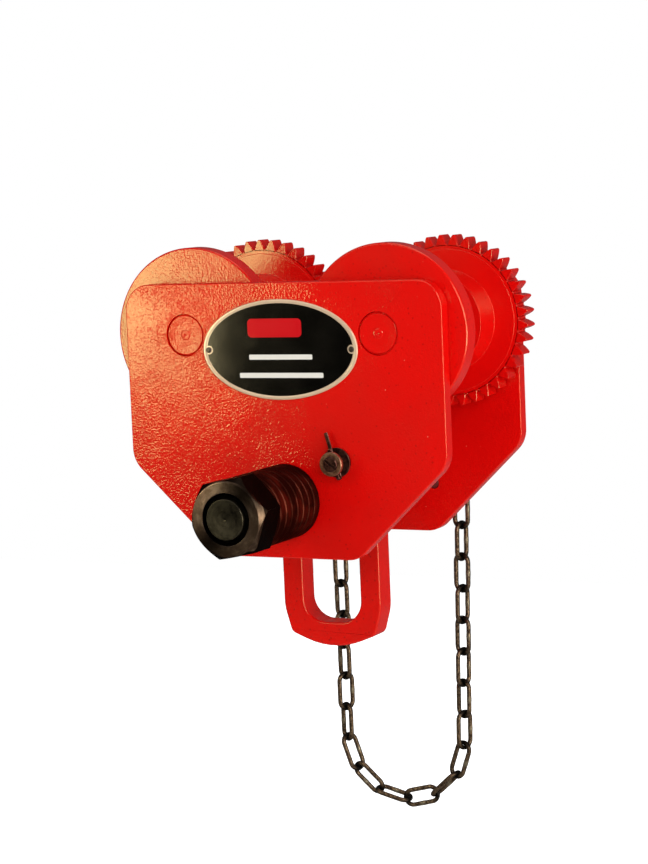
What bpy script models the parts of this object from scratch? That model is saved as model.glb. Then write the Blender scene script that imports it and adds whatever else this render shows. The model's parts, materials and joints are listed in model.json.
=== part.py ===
"""Geared beam trolley for a hoist, about 3 t class.

Two flanged wheels run on each side of an I-beam's bottom flange. The rear pair are spur gears
turned together by a pinion, whose shaft carries a pocket wheel and a hand chain outside the rear
plate. A hanger bolt through both side plates carries the suspension plate between spacers.

Metres, +Z up. X runs along the beam and +Y points to the geared side. The origin is midway
between the side plates, at the height of the wheel treads, which is the top of the beam's flange.
"""

from math import acos, asin, atan2, cos, hypot, pi, radians, sin, tan

import bmesh
import bpy
from mathutils import Vector

# Clearances
SEAT = 0.0003
RUNNING = 0.0003
PLATE_TO_WHEEL = 0.0015
CUT_PAST = 0.002

# Side plates
PLATE_WIDTH = 0.310
PLATE_THICKNESS = 0.013
PLATE_GAP = 0.157
PLATE_TOP = 0.0915
PLATE_SHOULDER = -0.0672
PLATE_BOTTOM = -0.1515
PLATE_FOOT_WIDTH = 0.134
PLATE_TOP_FILLET = 0.024
PLATE_SHOULDER_FILLET = 0.026
PLATE_FOOT_FILLET = 0.022
PLATE_CHAMFER = 0.0012

# Wheels
AXLE_TO_PLATE_END = 0.06035
FLANGE_TO_FLANGE = 0.0353
TREAD_RADIUS = 0.046
TREAD_TAPER = 0.0015
TREAD_WIDTH = 0.028
FLANGE_WIDTH = 0.019
FLANGE_CHAMFER = 0.0012

# Axles and bearings
AXLE_HEAD_RADIUS = 0.0186
AXLE_HEAD_RECESS = 0.0006
AXLE_GROOVE_RADIUS = 0.0133
AXLE_GROOVE_DEPTH = 0.0012
AXLE_COLLAR_RADIUS = 0.0225
AXLE_COLLAR_LENGTH = 0.0042
JOURNAL_RADIUS = 0.015
BEARING_RADIUS = 0.031
BEARING_WIDTH = 0.028
SNAP_RING_RADIUS = 0.0185
SNAP_RING_THICKNESS = 0.0018
SNAP_RING_DEPTH = 0.0012
AXLE_TAIL = 0.0025
DUST_CAP_DEPTH = 0.005
DUST_CAP_WALL = 0.0015

# Gears
SHAFT_BELOW_AXLES = 0.03227
WHEEL_TEETH = 37
PINION_TEETH = 13
PRESSURE_ANGLE = radians(25)
TOOTH_THINNING = 0.0003
TOOTH_ROOT_CLEARANCE = 0.25
GEAR_FACE_RECESS = 0.0006

# Drive shaft
SHAFT_RADIUS = 0.014
SHAFT_SEAT_RADIUS = 0.012
SHAFT_TAIL = 0.012
BOSS_RADIUS = 0.026
BOSS_LENGTH = 0.034
BOSS_LIP_RADIUS = 0.032
BOSS_LIP_THICKNESS = 0.006
BOSS_LIP_TAPER = 0.004
BUSH_WALL = 0.004
BUSH_FLANGE = 0.002
BUSH_FLANGE_WIDTH = 0.003
SHAFT_WASHER_RADIUS = 0.020
SHAFT_WASHER_THICKNESS = 0.0025
SHAFT_CHAMFER = 0.001
PINION_END_STEP = 0.0008

# Hand chain
WIRE = 0.00435
CHAIN_PITCH = 0.0308
LINK_WIDTH = 0.0196
CHAIN_TO_PLATE = 0.052
POCKETS = 7
RUN_LINKS = 12
BOTTOM_LINKS = 6
RIGHT_RUN_LEAN = radians(1.33)
LEFT_RUN_LEAN = radians(-0.17)
RIGHT_RUN_TWIST = radians(2.2)
LEFT_RUN_TWIST = radians(-2.8)
FUSED_JOINT = 0.0006
LOOSE_JOINT = 0.0008
LINK_FULLNESS = 1.06
LINK_BENDS = 3
LINK_SIDES = 5

# Hand chain wheel
RIM_WIDTH = 0.031
RIM_RADIUS = 0.079
RIM_FLARE = 0.0045
GROOVE_WIDTH = 0.0062
POCKET_DEPTH = 0.0035
POCKET_FLARE = 0.0018
WEB_THICKNESS = 0.008
HUB_RADIUS = 0.022
HUB_LENGTH = 0.032
RIM_WALL = 0.0055
RIM_DRAFT = 0.002
STEPS_PER_POCKET = 4

# Chain guides
GUIDE_SHEET = 0.004
GUIDE_TOP = -0.088
GUIDE_DROP = 0.032
GUIDE_WIDTH = 0.042
GUIDE_SLOT = 0.029
GUIDE_MARGIN = 0.006
GUIDE_SLOT_FILLET = 0.005
GUIDE_SCREW_SHARE = 0.58
SCREW_RADIUS = 0.005
SCREW_HEAD_FLATS = 0.017
SCREW_HEAD_HEIGHT = 0.007

# Hanger bolt and its spacers
BOLT_HEIGHT = -0.1005
BOLT_RADIUS = 0.021
BOLT_END_CHAMFER = 0.0032
BOLT_STICK_OUT = 0.0015
NUT_FLATS = 0.065
NUT_HEIGHT = 0.034
NUT_TAPER = 0.014
NUT_TURN = radians(-18.5)
HEAD_HEIGHT = 0.026
HEX_FACE_SHARE = 0.97
HEX_CHAMFER = 0.0034
NUT_COUNTERSINK = 0.0012
SPACER_RADIUS = 0.033
SPACER_THICKNESS = 0.0103
SPACER_CHAMFER = 0.0012
SPARE_SPACERS = 7
NUT_WASHER_THICKNESS = 0.003
INNER_WASHER_THICKNESS = 0.010

# Suspension plate
SUSPENSION_THICKNESS = 0.024
YOKE_PLAY = 0.0008
SUSPENSION_WIDTH = 0.098
SUSPENSION_SIDE_END = -0.211
SUSPENSION_CORNER = (0.0425, -0.2345)
SUSPENSION_BOTTOM = -0.2515
SUSPENSION_EDGE = 0.0018
EYE_WIDTH = 0.058
EYE_TOP = -0.150
EYE_BOTTOM = -0.224
EYE_TOP_FILLET = 0.010
EYE_BOTTOM_FILLET = 0.021
SUSPENSION_SIDE_FILLET = 0.045
SUSPENSION_CORNER_FILLET = 0.008
SUSPENSION_BOTTOM_FILLET = 0.075

# Tie rod
TIE_ROD_X = 0.0515
TIE_ROD_Z = -0.0656
TIE_ROD_RADIUS = 0.0066
TIE_ROD_REACH = 0.0155
TIE_ROD_SLOT = 0.0016
TIE_ROD_SLOT_DEPTH = 0.002
TIE_ROD_SLOT_TURN = radians(-38)
TIE_ROD_HEAD_RADIUS = 0.0106
TIE_ROD_HEAD_HEIGHT = 0.006
TIE_ROD_CHAMFER = 0.0008
TIE_WASHER_RADIUS = 0.013
TIE_WASHER_THICKNESS = 0.0025
TIE_COLLAR_RADIUS = 0.0106
TIE_COLLAR_THICKNESS = 0.0042

# Split pins
PIN_HALF_WIDTH = 0.0018
PIN_HALF_THICKNESS = 0.0009
PIN_LEG_GAP = 0.0022
PIN_HOLE_RADIUS = 0.0028
PIN_EYE_RADIUS = 0.0026
PIN_STICK_OUT = 0.0012
PIN_SHORT_LEG = 0.004
PIN_BEND = 0.001
PIN_SIDES = 8
TIE_PIN_LONG_LEG = 0.0276
TIE_PIN_SPREAD = 0.0010
TIE_PIN_LEAN = (-0.30, 0, 0.954)
SHAFT_PIN_LONG_LEG = 0.018
SHAFT_PIN_SPREAD = 0.0032

# Nameplate
NAMEPLATE_TO_AXLE = 0.00045
NAMEPLATE_HEIGHT = 0.088
NAMEPLATE_CENTRE_Z = 0.0328
NAMEPLATE_THICKNESS = 0.0012
NAMEPLATE_RIM = 0.0026
NAMEPLATE_RIM_HEIGHT = 0.0005
RIVET_INSET = 0.0056
RIVET_RADIUS = 0.0014
RIVET_HEAD_RADIUS = 0.0027
RIVET_HEAD_HEIGHT = 0.0010
RIVET_DEPTH = 0.006

# Facets round a full turn
FINE = 28
ROUND = 16
SMALL = 12
TINY = 10

# The plate's width sets how far apart the wheels are, and that sets their flanges and the gears' module.
PLATE_INNER = PLATE_GAP / 2
PLATE_OUTER = PLATE_INNER + PLATE_THICKNESS
CHAIN_PLANE = PLATE_OUTER + CHAIN_TO_PLATE
WHEEL_X = PLATE_WIDTH / 2 - AXLE_TO_PLATE_END
WHEEL_Z = TREAD_RADIUS
DRIVE_Z = WHEEL_Z - SHAFT_BELOW_AXLES
PLAIN_FLANGE_RADIUS = WHEEL_X - FLANGE_TO_FLANGE / 2
GEAR_MODULE = 2 * hypot(WHEEL_X, SHAFT_BELOW_AXLES) / (WHEEL_TEETH + PINION_TEETH)
GEAR_RADIUS = GEAR_MODULE * WHEEL_TEETH / 2
PINION_RADIUS = GEAR_MODULE * PINION_TEETH / 2
NAMEPLATE_WIDTH = 2 * (WHEEL_X - AXLE_HEAD_RADIUS - NAMEPLATE_TO_AXLE)


def paint(name, colour, roughness, metallic):
    made = bpy.data.materials.new(name)
    made.use_nodes = True
    shader = made.node_tree.nodes["Principled BSDF"]
    shader.inputs["Base Color"].default_value = (*colour, 1)
    shader.inputs["Roughness"].default_value = roughness
    shader.inputs["Metallic"].default_value = metallic
    made.diffuse_color = (*colour, 1)
    return made


def clear_scene():
    for thing in list(bpy.data.objects):
        bpy.data.objects.remove(thing, do_unlink=True)


def place(name, bm, coat, at=(0, 0, 0), parent=None, sharp=radians(35)):
    """Turns a bmesh into a named object with its origin at `at`, which is its joint's axis if it moves."""
    bmesh.ops.remove_doubles(bm, verts=bm.verts, dist=1e-7)
    bmesh.ops.recalc_face_normals(bm, faces=bm.faces)
    mesh = bpy.data.meshes.new(name)
    bm.to_mesh(mesh)
    bm.free()
    mesh.shade_smooth()
    mesh.set_sharp_from_angle(angle=sharp)
    thing = bpy.data.objects.new(name, mesh)
    bpy.context.scene.collection.objects.link(thing)
    if coat:
        mesh.materials.append(coat)
    thing.location = at
    if parent:
        thing.parent = parent
        thing.location = Vector(at) - parent.location
    return thing


def boolean(thing, tool, operation):
    """Adds an exact Boolean with a hidden tool."""
    tool.hide_render = True
    tool.display_type = "WIRE"
    modifier = thing.modifiers.new(f"{operation.lower()}_{tool.name}", "BOOLEAN")
    modifier.operation = operation
    modifier.object = tool
    return thing


def bevel_edges(thing, width):
    modifier = thing.modifiers.new("edge", "BEVEL")
    modifier.width = width
    modifier.segments = 1
    modifier.limit_method = "ANGLE"
    modifier.angle_limit = radians(60)
    modifier.use_clamp_overlap = True
    return thing


def turned_mesh(profile, segments):
    """Spins (radius, y) points round the Y axis. A profile that ends on the axis is left open there."""
    bm = bmesh.new()
    points = [bm.verts.new((radius, y, 0)) for radius, y in profile]
    edges = [bm.edges.new(pair) for pair in zip(points, points[1:])]
    if profile[0][0] > 0 or profile[-1][0] > 0:
        edges.append(bm.edges.new((points[-1], points[0])))
    bmesh.ops.spin(
        bm,
        geom=points + edges,
        cent=(0, 0, 0),
        axis=(0, 1, 0),
        angle=2 * pi,
        steps=segments,
        use_merge=True,
    )
    return bm


def turned(name, profile, coat, at=(0, 0, 0), parent=None, segments=ROUND):
    return place(name, turned_mesh(profile, segments), coat, at, parent)


def ring(name, inner, outer, low, high, coat, at=(0, 0, 0), parent=None, segments=ROUND, chamfer=0.0):
    """A washer or spacer along Y, with its outer edges chamfered where a chamfer is given."""
    if chamfer:
        profile = [
            (inner, low),
            (outer - chamfer, low),
            (outer, low + chamfer),
            (outer, high - chamfer),
            (outer - chamfer, high),
            (inner, high),
        ]
    else:
        profile = [(inner, low), (outer, low), (outer, high), (inner, high)]
    return turned(name, profile, coat, at, parent, segments)


def prism_mesh(outline, low, high, chamfer=0.0):
    """Extrudes an (x, z) outline along Y, and bevels both its rims where a chamfer is given."""
    bm = bmesh.new()
    face = bm.faces.new([bm.verts.new((x, low, z)) for x, z in outline])
    extruded = bmesh.ops.extrude_face_region(bm, geom=[face])["geom"]
    moved = [part for part in extruded if isinstance(part, bmesh.types.BMVert)]
    bmesh.ops.translate(bm, verts=moved, vec=(0, high - low, 0))
    if chamfer:
        rims = [edge for edge in bm.edges if abs(edge.verts[0].co.y - edge.verts[1].co.y) < 1e-9]
        bmesh.ops.bevel(
            bm,
            geom=rims,
            offset=chamfer,
            offset_type="OFFSET",
            segments=1,
            profile=0.5,
            affect="EDGES",
        )
    return bm


def prism(name, outline, low, high, coat, at=(0, 0, 0), parent=None, chamfer=0.0):
    return place(name, prism_mesh(outline, low, high, chamfer), coat, at, parent)


def running_bore(radius, segments=ROUND):
    """The bore whose flats clear a shaft of this radius however the two are turned."""
    return (radius + RUNNING) / cos(pi / segments)


def hole(name, radius, low, high, at, parent=None, segments=ROUND):
    """A round bar along Y: a cutter, or a shank to join on."""
    profile = [(0, low), (radius, low), (radius, high), (0, high)]
    return turned(name, profile, None, at, parent, segments)


def rounded(corners, step=radians(18)):
    """Replaces each (x, z, fillet) corner of an outline by an arc tangent to both its sides."""
    outline = []
    for index, (x, z, fillet) in enumerate(corners):
        corner = Vector((x, z))
        before = (Vector(corners[index - 1][:2]) - corner).normalized()
        after = (Vector(corners[(index + 1) % len(corners)][:2]) - corner).normalized()
        if fillet <= 0:
            outline.append((x, z))
            continue
        half = before.angle(after) / 2
        centre = corner + (before + after).normalized() * (fillet / sin(half))
        first = corner + before * (fillet / tan(half)) - centre
        last = corner + after * (fillet / tan(half)) - centre
        turn = atan2(first.cross(last), first.dot(last))
        steps = max(1, round(abs(turn) / step))
        start = atan2(first.y, first.x)
        for number in range(steps + 1):
            angle = start + turn * number / steps
            outline.append((centre.x + fillet * cos(angle), centre.y + fillet * sin(angle)))
    return outline


def regular_polygon(across_flats, sides, turn):
    radius = across_flats / 2 / cos(pi / sides)
    return [
        (radius * cos(turn + 2 * pi * number / sides), radius * sin(turn + 2 * pi * number / sides))
        for number in range(sides)
    ]


def empty_at(name, at):
    """Marks a joint's axis; the pieces that turn on it are its children."""
    marker = bpy.data.objects.new(name, None)
    marker.empty_display_size = 0.02
    marker.location = at
    bpy.context.scene.collection.objects.link(marker)
    return marker


def side_plate_outline():
    half = PLATE_WIDTH / 2
    foot = PLATE_FOOT_WIDTH / 2
    return rounded(
        [
            (half, PLATE_TOP, PLATE_TOP_FILLET),
            (-half, PLATE_TOP, PLATE_TOP_FILLET),
            (-half, PLATE_SHOULDER, PLATE_SHOULDER_FILLET),
            (-foot, PLATE_BOTTOM, PLATE_FOOT_FILLET),
            (foot, PLATE_BOTTOM, PLATE_FOOT_FILLET),
            (half, PLATE_SHOULDER, PLATE_SHOULDER_FILLET),
        ]
    )


def make_side_plate(name, side, coat):
    """Side is -1 for the front plate and +1 for the geared one."""
    low, high = sorted((side * PLATE_INNER, side * PLATE_OUTER))
    plate = prism(name, side_plate_outline(), low, high, coat, chamfer=PLATE_CHAMFER)
    holes = [(x * WHEEL_X, WHEEL_Z, AXLE_HEAD_RADIUS + SEAT, ROUND) for x in (-1, 1)]
    holes.append((0, BOLT_HEIGHT, BOLT_RADIUS + SEAT, ROUND))
    holes.append((TIE_ROD_X, TIE_ROD_Z, TIE_ROD_RADIUS + SEAT, SMALL))
    if side > 0:
        holes.append((0, DRIVE_Z, BOSS_RADIUS + SEAT, ROUND))
        holes += [(guide_x(x), guide_screw_z(), SCREW_RADIUS + SEAT, TINY) for x in (-1, 1)]
    for number, (x, z, radius, segments) in enumerate(holes):
        spot = (x, 0, z)
        tool = hole(f"tool_{name}_{number}", radius, low - CUT_PAST, high + CUT_PAST, spot, None, segments)
        boolean(plate, tool, "DIFFERENCE")
    if side < 0:
        for number, x in enumerate(rivet_places()):
            at = (x, 0, NAMEPLATE_CENTRE_Z)
            depth = -PLATE_OUTER + RIVET_DEPTH + SEAT
            tool = hole(f"tool_rivet_{number}", RIVET_RADIUS + SEAT, low - CUT_PAST, depth, at, None, TINY)
            boolean(plate, tool, "DIFFERENCE")
    return plate


def rivet_places():
    reach = NAMEPLATE_WIDTH / 2 - RIVET_INSET
    return (-reach, reach)


def make_nameplate(coat, rivet_coat):
    """An oval pressed plate with a raised rim, bare inside it, held by a small rivet at each end."""
    back = -PLATE_OUTER - SEAT
    face = back - NAMEPLATE_THICKNESS
    rim = face - NAMEPLATE_RIM_HEIGHT
    levels = [(0, back), (0, rim), (NAMEPLATE_RIM * 0.8, rim), (NAMEPLATE_RIM, face)]
    count = FINE
    bm = bmesh.new()
    loops = []
    for inset, y in levels:
        loop = []
        for number in range(count):
            angle = 2 * pi * number / count
            x = (NAMEPLATE_WIDTH / 2 - inset) * cos(angle)
            z = (NAMEPLATE_HEIGHT / 2 - inset) * sin(angle)
            loop.append(bm.verts.new((x, y, z)))
        loops.append(loop)
    for one, other in zip(loops, loops[1:]):
        for number in range(count):
            after = (number + 1) % count
            bm.faces.new((one[number], one[after], other[after], other[number]))
    bm.faces.new(loops[0])
    bm.faces.new(loops[-1])
    plate = place("nameplate", bm, coat, (0, 0, NAMEPLATE_CENTRE_Z))
    for word, x in zip(("left", "right"), rivet_places()):
        at = (x, 0, NAMEPLATE_CENTRE_Z)
        name = f"tool_nameplate_{word}"
        tool = hole(name, RIVET_RADIUS + SEAT, rim - CUT_PAST, back + CUT_PAST, at, None, TINY)
        boolean(plate, tool, "DIFFERENCE")
        under = face - SEAT
        profile = [
            (0, -PLATE_OUTER + RIVET_DEPTH),
            (RIVET_RADIUS, -PLATE_OUTER + RIVET_DEPTH),
            (RIVET_RADIUS, under),
            (RIVET_HEAD_RADIUS, under),
            (RIVET_HEAD_RADIUS * 0.72, under - RIVET_HEAD_HEIGHT * 0.75),
            (0, under - RIVET_HEAD_HEIGHT),
        ]
        turned(f"nameplate_rivet_{word}", profile, rivet_coat, at, None, TINY)


def inward(side, depth):
    """The y of a point that lies `depth` inboard of a side plate's inner face."""
    return side * (PLATE_INNER - depth)


def bearing_start():
    return SEAT + AXLE_COLLAR_LENGTH + SEAT


def snap_ring_start():
    return bearing_start() + BEARING_WIDTH + SEAT


def wheel_profile(side, flange_radius, rim_chamfer):
    """Hub, tread and flange in one turning: (radius, y) points from the bore's lip round to the tail."""
    outer = PLATE_TO_WHEEL
    flange_end = outer + FLANGE_WIDTH
    tread_end = flange_end + TREAD_WIDTH
    lip = running_bore(AXLE_COLLAR_RADIUS)
    seat = BEARING_RADIUS + SEAT
    shoulder = bearing_start() - SEAT
    points = [
        (lip, outer),
        (flange_radius - rim_chamfer, outer),
        (flange_radius, outer + rim_chamfer),
        (flange_radius, flange_end - rim_chamfer),
        (flange_radius - rim_chamfer, flange_end),
        (TREAD_RADIUS, flange_end),
        (TREAD_RADIUS - TREAD_TAPER, tread_end),
        (seat, tread_end),
        (seat, shoulder),
        (lip, shoulder),
    ]
    return [(radius, inward(side, depth)) for radius, depth in points]


def make_axle(name, side, x, coat):
    """A pin pressed through the side plate, with a ring groove outside and a snap ring groove inboard."""
    head = -PLATE_THICKNESS + AXLE_HEAD_RECESS
    ring_low = snap_ring_start()
    ring_high = ring_low + SNAP_RING_THICKNESS + SEAT
    groove = JOURNAL_RADIUS - SNAP_RING_DEPTH
    collar_end = SEAT + AXLE_COLLAR_LENGTH
    half_groove = AXLE_GROOVE_DEPTH * 0.9
    points = [
        (0, head),
        (AXLE_GROOVE_RADIUS - half_groove, head),
        (AXLE_GROOVE_RADIUS, head + AXLE_GROOVE_DEPTH),
        (AXLE_GROOVE_RADIUS + half_groove, head),
        (AXLE_HEAD_RADIUS, head),
        (AXLE_HEAD_RADIUS, SEAT),
        (AXLE_COLLAR_RADIUS, SEAT),
        (AXLE_COLLAR_RADIUS, collar_end),
        (JOURNAL_RADIUS, collar_end),
        (JOURNAL_RADIUS, ring_low),
        (groove, ring_low),
        (groove, ring_high),
        (JOURNAL_RADIUS, ring_high),
        (JOURNAL_RADIUS, ring_high + AXLE_TAIL),
        (0, ring_high + AXLE_TAIL),
    ]
    profile = [(radius, inward(side, depth)) for radius, depth in points]
    return turned(name, profile, coat, (x, 0, WHEEL_Z))


def make_wheel_fittings(where, side, x, axis, coats):
    """The axle and snap ring stay with the plate; the bearing and dust cap turn with the wheel."""
    at = (x, 0, WHEEL_Z)
    make_axle(f"axle_{where}", side, x, coats["axle"])
    start = bearing_start()
    low, high = sorted((inward(side, start), inward(side, start + BEARING_WIDTH)))
    bore = running_bore(JOURNAL_RADIUS)
    ring(f"bearing_{where}", bore, BEARING_RADIUS, low, high, coats["bright"], at, axis)
    low, high = sorted(
        (inward(side, snap_ring_start() + SEAT), inward(side, snap_ring_start() + SNAP_RING_THICKNESS))
    )
    bore = JOURNAL_RADIUS - SNAP_RING_DEPTH + SEAT
    ring(f"snap_ring_{where}", bore, SNAP_RING_RADIUS, low, high, coats["dark"], at)
    tail = PLATE_TO_WHEEL + FLANGE_WIDTH + TREAD_WIDTH
    front = tail - DUST_CAP_DEPTH
    points = [
        (0, tail - DUST_CAP_WALL - SEAT),
        (BEARING_RADIUS - DUST_CAP_WALL, tail - DUST_CAP_WALL - SEAT),
        (BEARING_RADIUS - DUST_CAP_WALL, front),
        (BEARING_RADIUS, front),
        (BEARING_RADIUS, tail - SEAT),
        (0, tail - SEAT),
    ]
    profile = [(radius, inward(side, depth)) for radius, depth in points]
    turned(f"dust_cap_{where}", profile, coats["bright"], at, axis, SMALL)


def make_plain_wheel(where, x, coats):
    axis = empty_at(f"wheel_{where}_axis", (x, 0, WHEEL_Z))
    at = (x, 0, WHEEL_Z)
    profile = wheel_profile(-1, PLAIN_FLANGE_RADIUS, FLANGE_CHAMFER)
    turned(f"wheel_{where}", profile, coats["red"], at, axis, FINE)
    make_wheel_fittings(where, -1, x, axis, coats)


def involute(angle):
    return tan(angle) - angle


def toothed_outline(teeth, phase, flank_steps):
    """An involute spur gear's outline, with one tooth centred on the angle `phase`."""
    pitch = GEAR_MODULE * teeth / 2
    base = pitch * cos(PRESSURE_ANGLE)
    tip = pitch + GEAR_MODULE
    root = pitch - GEAR_MODULE * (1 + TOOTH_ROOT_CLEARANCE)
    half_at_pitch = (pi * GEAR_MODULE / 2 - TOOTH_THINNING) / (2 * pitch)

    def half_angle(radius):
        at_radius = acos(base / max(radius, base))
        return half_at_pitch + involute(PRESSURE_ANGLE) - involute(at_radius)

    start = max(root, base)
    radii = [start + (tip - start) * step / flank_steps for step in range(flank_steps + 1)]
    if root < base:
        radii.insert(0, root)
    outline = []
    for tooth in range(teeth):
        centre = phase + 2 * pi * tooth / teeth
        flank = [(radius, centre - half_angle(radius)) for radius in radii]
        flank += [(radius, centre + half_angle(radius)) for radius in reversed(radii)]
        outline += [(radius * cos(angle), radius * sin(angle)) for radius, angle in flank]
    return outline


def gear_phase(gear_x, pinion_phase):
    """The angle of a wheel's tooth that puts it in mesh with the pinion."""
    line = atan2(DRIVE_Z - WHEEL_Z, -gear_x)
    offset = pinion_phase - (line + pi)
    tooth_pitch = pi * GEAR_MODULE
    return line - (PINION_RADIUS * offset + tooth_pitch / 2) / GEAR_RADIUS


def make_geared_wheel(where, x, coats):
    """The flange is the gear: a toothed disc joined with the turned hub, tread and side faces."""
    axis = empty_at(f"wheel_{where}_axis", (x, 0, WHEEL_Z))
    at = (x, 0, WHEEL_Z)
    root = GEAR_RADIUS - GEAR_MODULE * (1 + TOOTH_ROOT_CLEARANCE)
    face = root - GEAR_MODULE
    wheel = turned(f"wheel_{where}", wheel_profile(1, face, 0.0008), coats["red"], at, axis, FINE)
    outline = toothed_outline(WHEEL_TEETH, gear_phase(x, 0.0), 1)
    low, high = sorted(
        (
            inward(1, PLATE_TO_WHEEL + GEAR_FACE_RECESS),
            inward(1, PLATE_TO_WHEEL + FLANGE_WIDTH - GEAR_FACE_RECESS),
        )
    )
    teeth = prism(f"tool_teeth_{where}", outline, low, high, None, at, axis)
    opening = hole(f"tool_teeth_bore_{where}", face - 0.008, low - CUT_PAST, high + CUT_PAST, at, axis)
    boolean(teeth, opening, "DIFFERENCE")
    boolean(wheel, teeth, "UNION")
    make_wheel_fittings(where, 1, x, axis, coats)


def hex_blank(name, low, high, coat, at, taper=HEX_CHAMFER, turn=0.0):
    """A hexagon with its corners turned off at both ends, made as a hexagon cut by a barrel.

    The cut leaves a round face, and meets the corners `taper` past it at the low end.
    """
    blank = prism(name, regular_polygon(NUT_FLATS, 6, pi / 2 + turn), low, high, coat, at)
    corner = NUT_FLATS / 2 / cos(pi / 6)
    face = NUT_FLATS / 2 * HEX_FACE_SHARE
    past = 0.1
    points = [
        (0, low - taper * past),
        (face - (corner - face) * past, low - taper * past),
        (corner + (corner - face) * past, low + taper * (1 + past)),
        (corner + (corner - face) * past, high - HEX_CHAMFER * (1 + past)),
        (face - (corner - face) * past, high + HEX_CHAMFER * past),
        (0, high + HEX_CHAMFER * past),
    ]
    barrel = turned(f"tool_{name}_barrel", points, None, at, None, FINE)
    return boolean(blank, barrel, "INTERSECT")


def make_hanger(coats):
    """The bolt, its nut, the spare spacers outside the front plate and the spacers that centre the yoke."""
    at = (0, 0, BOLT_HEIGHT)
    bore = BOLT_RADIUS + SEAT
    y = -PLATE_OUTER
    for number in range(SPARE_SPACERS):
        high = y - SEAT
        y = high - SPACER_THICKNESS
        name = f"spare_spacer_{number + 1}"
        ring(name, bore, SPACER_RADIUS, y, high, coats["dark"], at, chamfer=SPACER_CHAMFER)
    high = y - SEAT
    y = high - NUT_WASHER_THICKNESS
    ring("nut_washer", bore, SPACER_RADIUS * 0.97, y, high, coats["dark"], at)
    nut_high = y - SEAT
    nut_low = nut_high - NUT_HEIGHT
    nut = hex_blank("hanger_nut", nut_low, nut_high, coats["dark"], at, NUT_TAPER, NUT_TURN)
    mouth = bore + NUT_COUNTERSINK + CUT_PAST
    points = [
        (0, nut_low - CUT_PAST),
        (mouth, nut_low - CUT_PAST),
        (bore, nut_low + NUT_COUNTERSINK),
        (bore, nut_high + CUT_PAST),
        (0, nut_high + CUT_PAST),
    ]
    boolean(nut, turned("tool_nut_bore", points, None, at), "DIFFERENCE")

    head_low = PLATE_OUTER + SEAT
    bolt = hex_blank("hanger_bolt", head_low, head_low + HEAD_HEIGHT, coats["dark"], at)
    end = nut_low - BOLT_STICK_OUT
    points = [
        (0, end),
        (BOLT_RADIUS - BOLT_END_CHAMFER, end),
        (BOLT_RADIUS, end + BOLT_END_CHAMFER * 0.8),
        (BOLT_RADIUS, head_low + HEAD_HEIGHT / 2),
        (0, head_low + HEAD_HEIGHT / 2),
    ]
    boolean(bolt, turned("tool_bolt_shank", points, None, at), "UNION")

    for word, side in (("front", -1), ("rear", 1)):
        wall = PLATE_INNER - SEAT
        washer = wall - INNER_WASHER_THICKNESS
        low, high = sorted((side * wall, side * washer))
        ring(f"inner_washer_{word}", bore, SPACER_RADIUS, low, high, coats["dark"], at)
        far = washer - SEAT
        near = SUSPENSION_THICKNESS / 2 + SEAT
        low, high = sorted((side * far, side * near))
        ring(f"inner_spacer_{word}", bore, SPACER_RADIUS, low, high, coats["dark"], at)


def make_suspension_plate(coat):
    """The yoke that the hoist's hook goes through. It swings on the hanger bolt."""
    axis = empty_at("suspension_axis", (0, 0, BOLT_HEIGHT))
    half = SUSPENSION_WIDTH / 2
    corner_x, corner_z = SUSPENSION_CORNER
    outline = rounded(
        [
            (half, BOLT_HEIGHT + half, half * 0.999),
            (-half, BOLT_HEIGHT + half, half * 0.999),
            (-half, SUSPENSION_SIDE_END, SUSPENSION_SIDE_FILLET),
            (-corner_x, corner_z, SUSPENSION_CORNER_FILLET),
            (0, SUSPENSION_BOTTOM, SUSPENSION_BOTTOM_FILLET),
            (corner_x, corner_z, SUSPENSION_CORNER_FILLET),
            (half, SUSPENSION_SIDE_END, SUSPENSION_SIDE_FILLET),
        ]
    )
    local = [(x, z - BOLT_HEIGHT) for x, z in outline]
    low, high = -SUSPENSION_THICKNESS / 2, SUSPENSION_THICKNESS / 2
    at = (0, 0, BOLT_HEIGHT)
    plate = prism("suspension_plate", local, low, high, coat, at, axis)
    radius = BOLT_RADIUS + YOKE_PLAY
    bore = hole("tool_suspension_bore", radius, low - CUT_PAST, high + CUT_PAST, at, axis)
    eye_half = EYE_WIDTH / 2
    eye_outline = rounded(
        [
            (eye_half, EYE_TOP, EYE_TOP_FILLET),
            (-eye_half, EYE_TOP, EYE_TOP_FILLET),
            (-eye_half, EYE_BOTTOM, EYE_BOTTOM_FILLET),
            (eye_half, EYE_BOTTOM, EYE_BOTTOM_FILLET),
        ]
    )
    local_eye = [(x, z - BOLT_HEIGHT) for x, z in eye_outline]
    eye = prism("tool_load_eye", local_eye, low - CUT_PAST, high + CUT_PAST, None, at, axis)
    boolean(plate, bore, "DIFFERENCE")
    boolean(plate, eye, "DIFFERENCE")
    bevel_edges(plate, SUSPENSION_EDGE)


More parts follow.
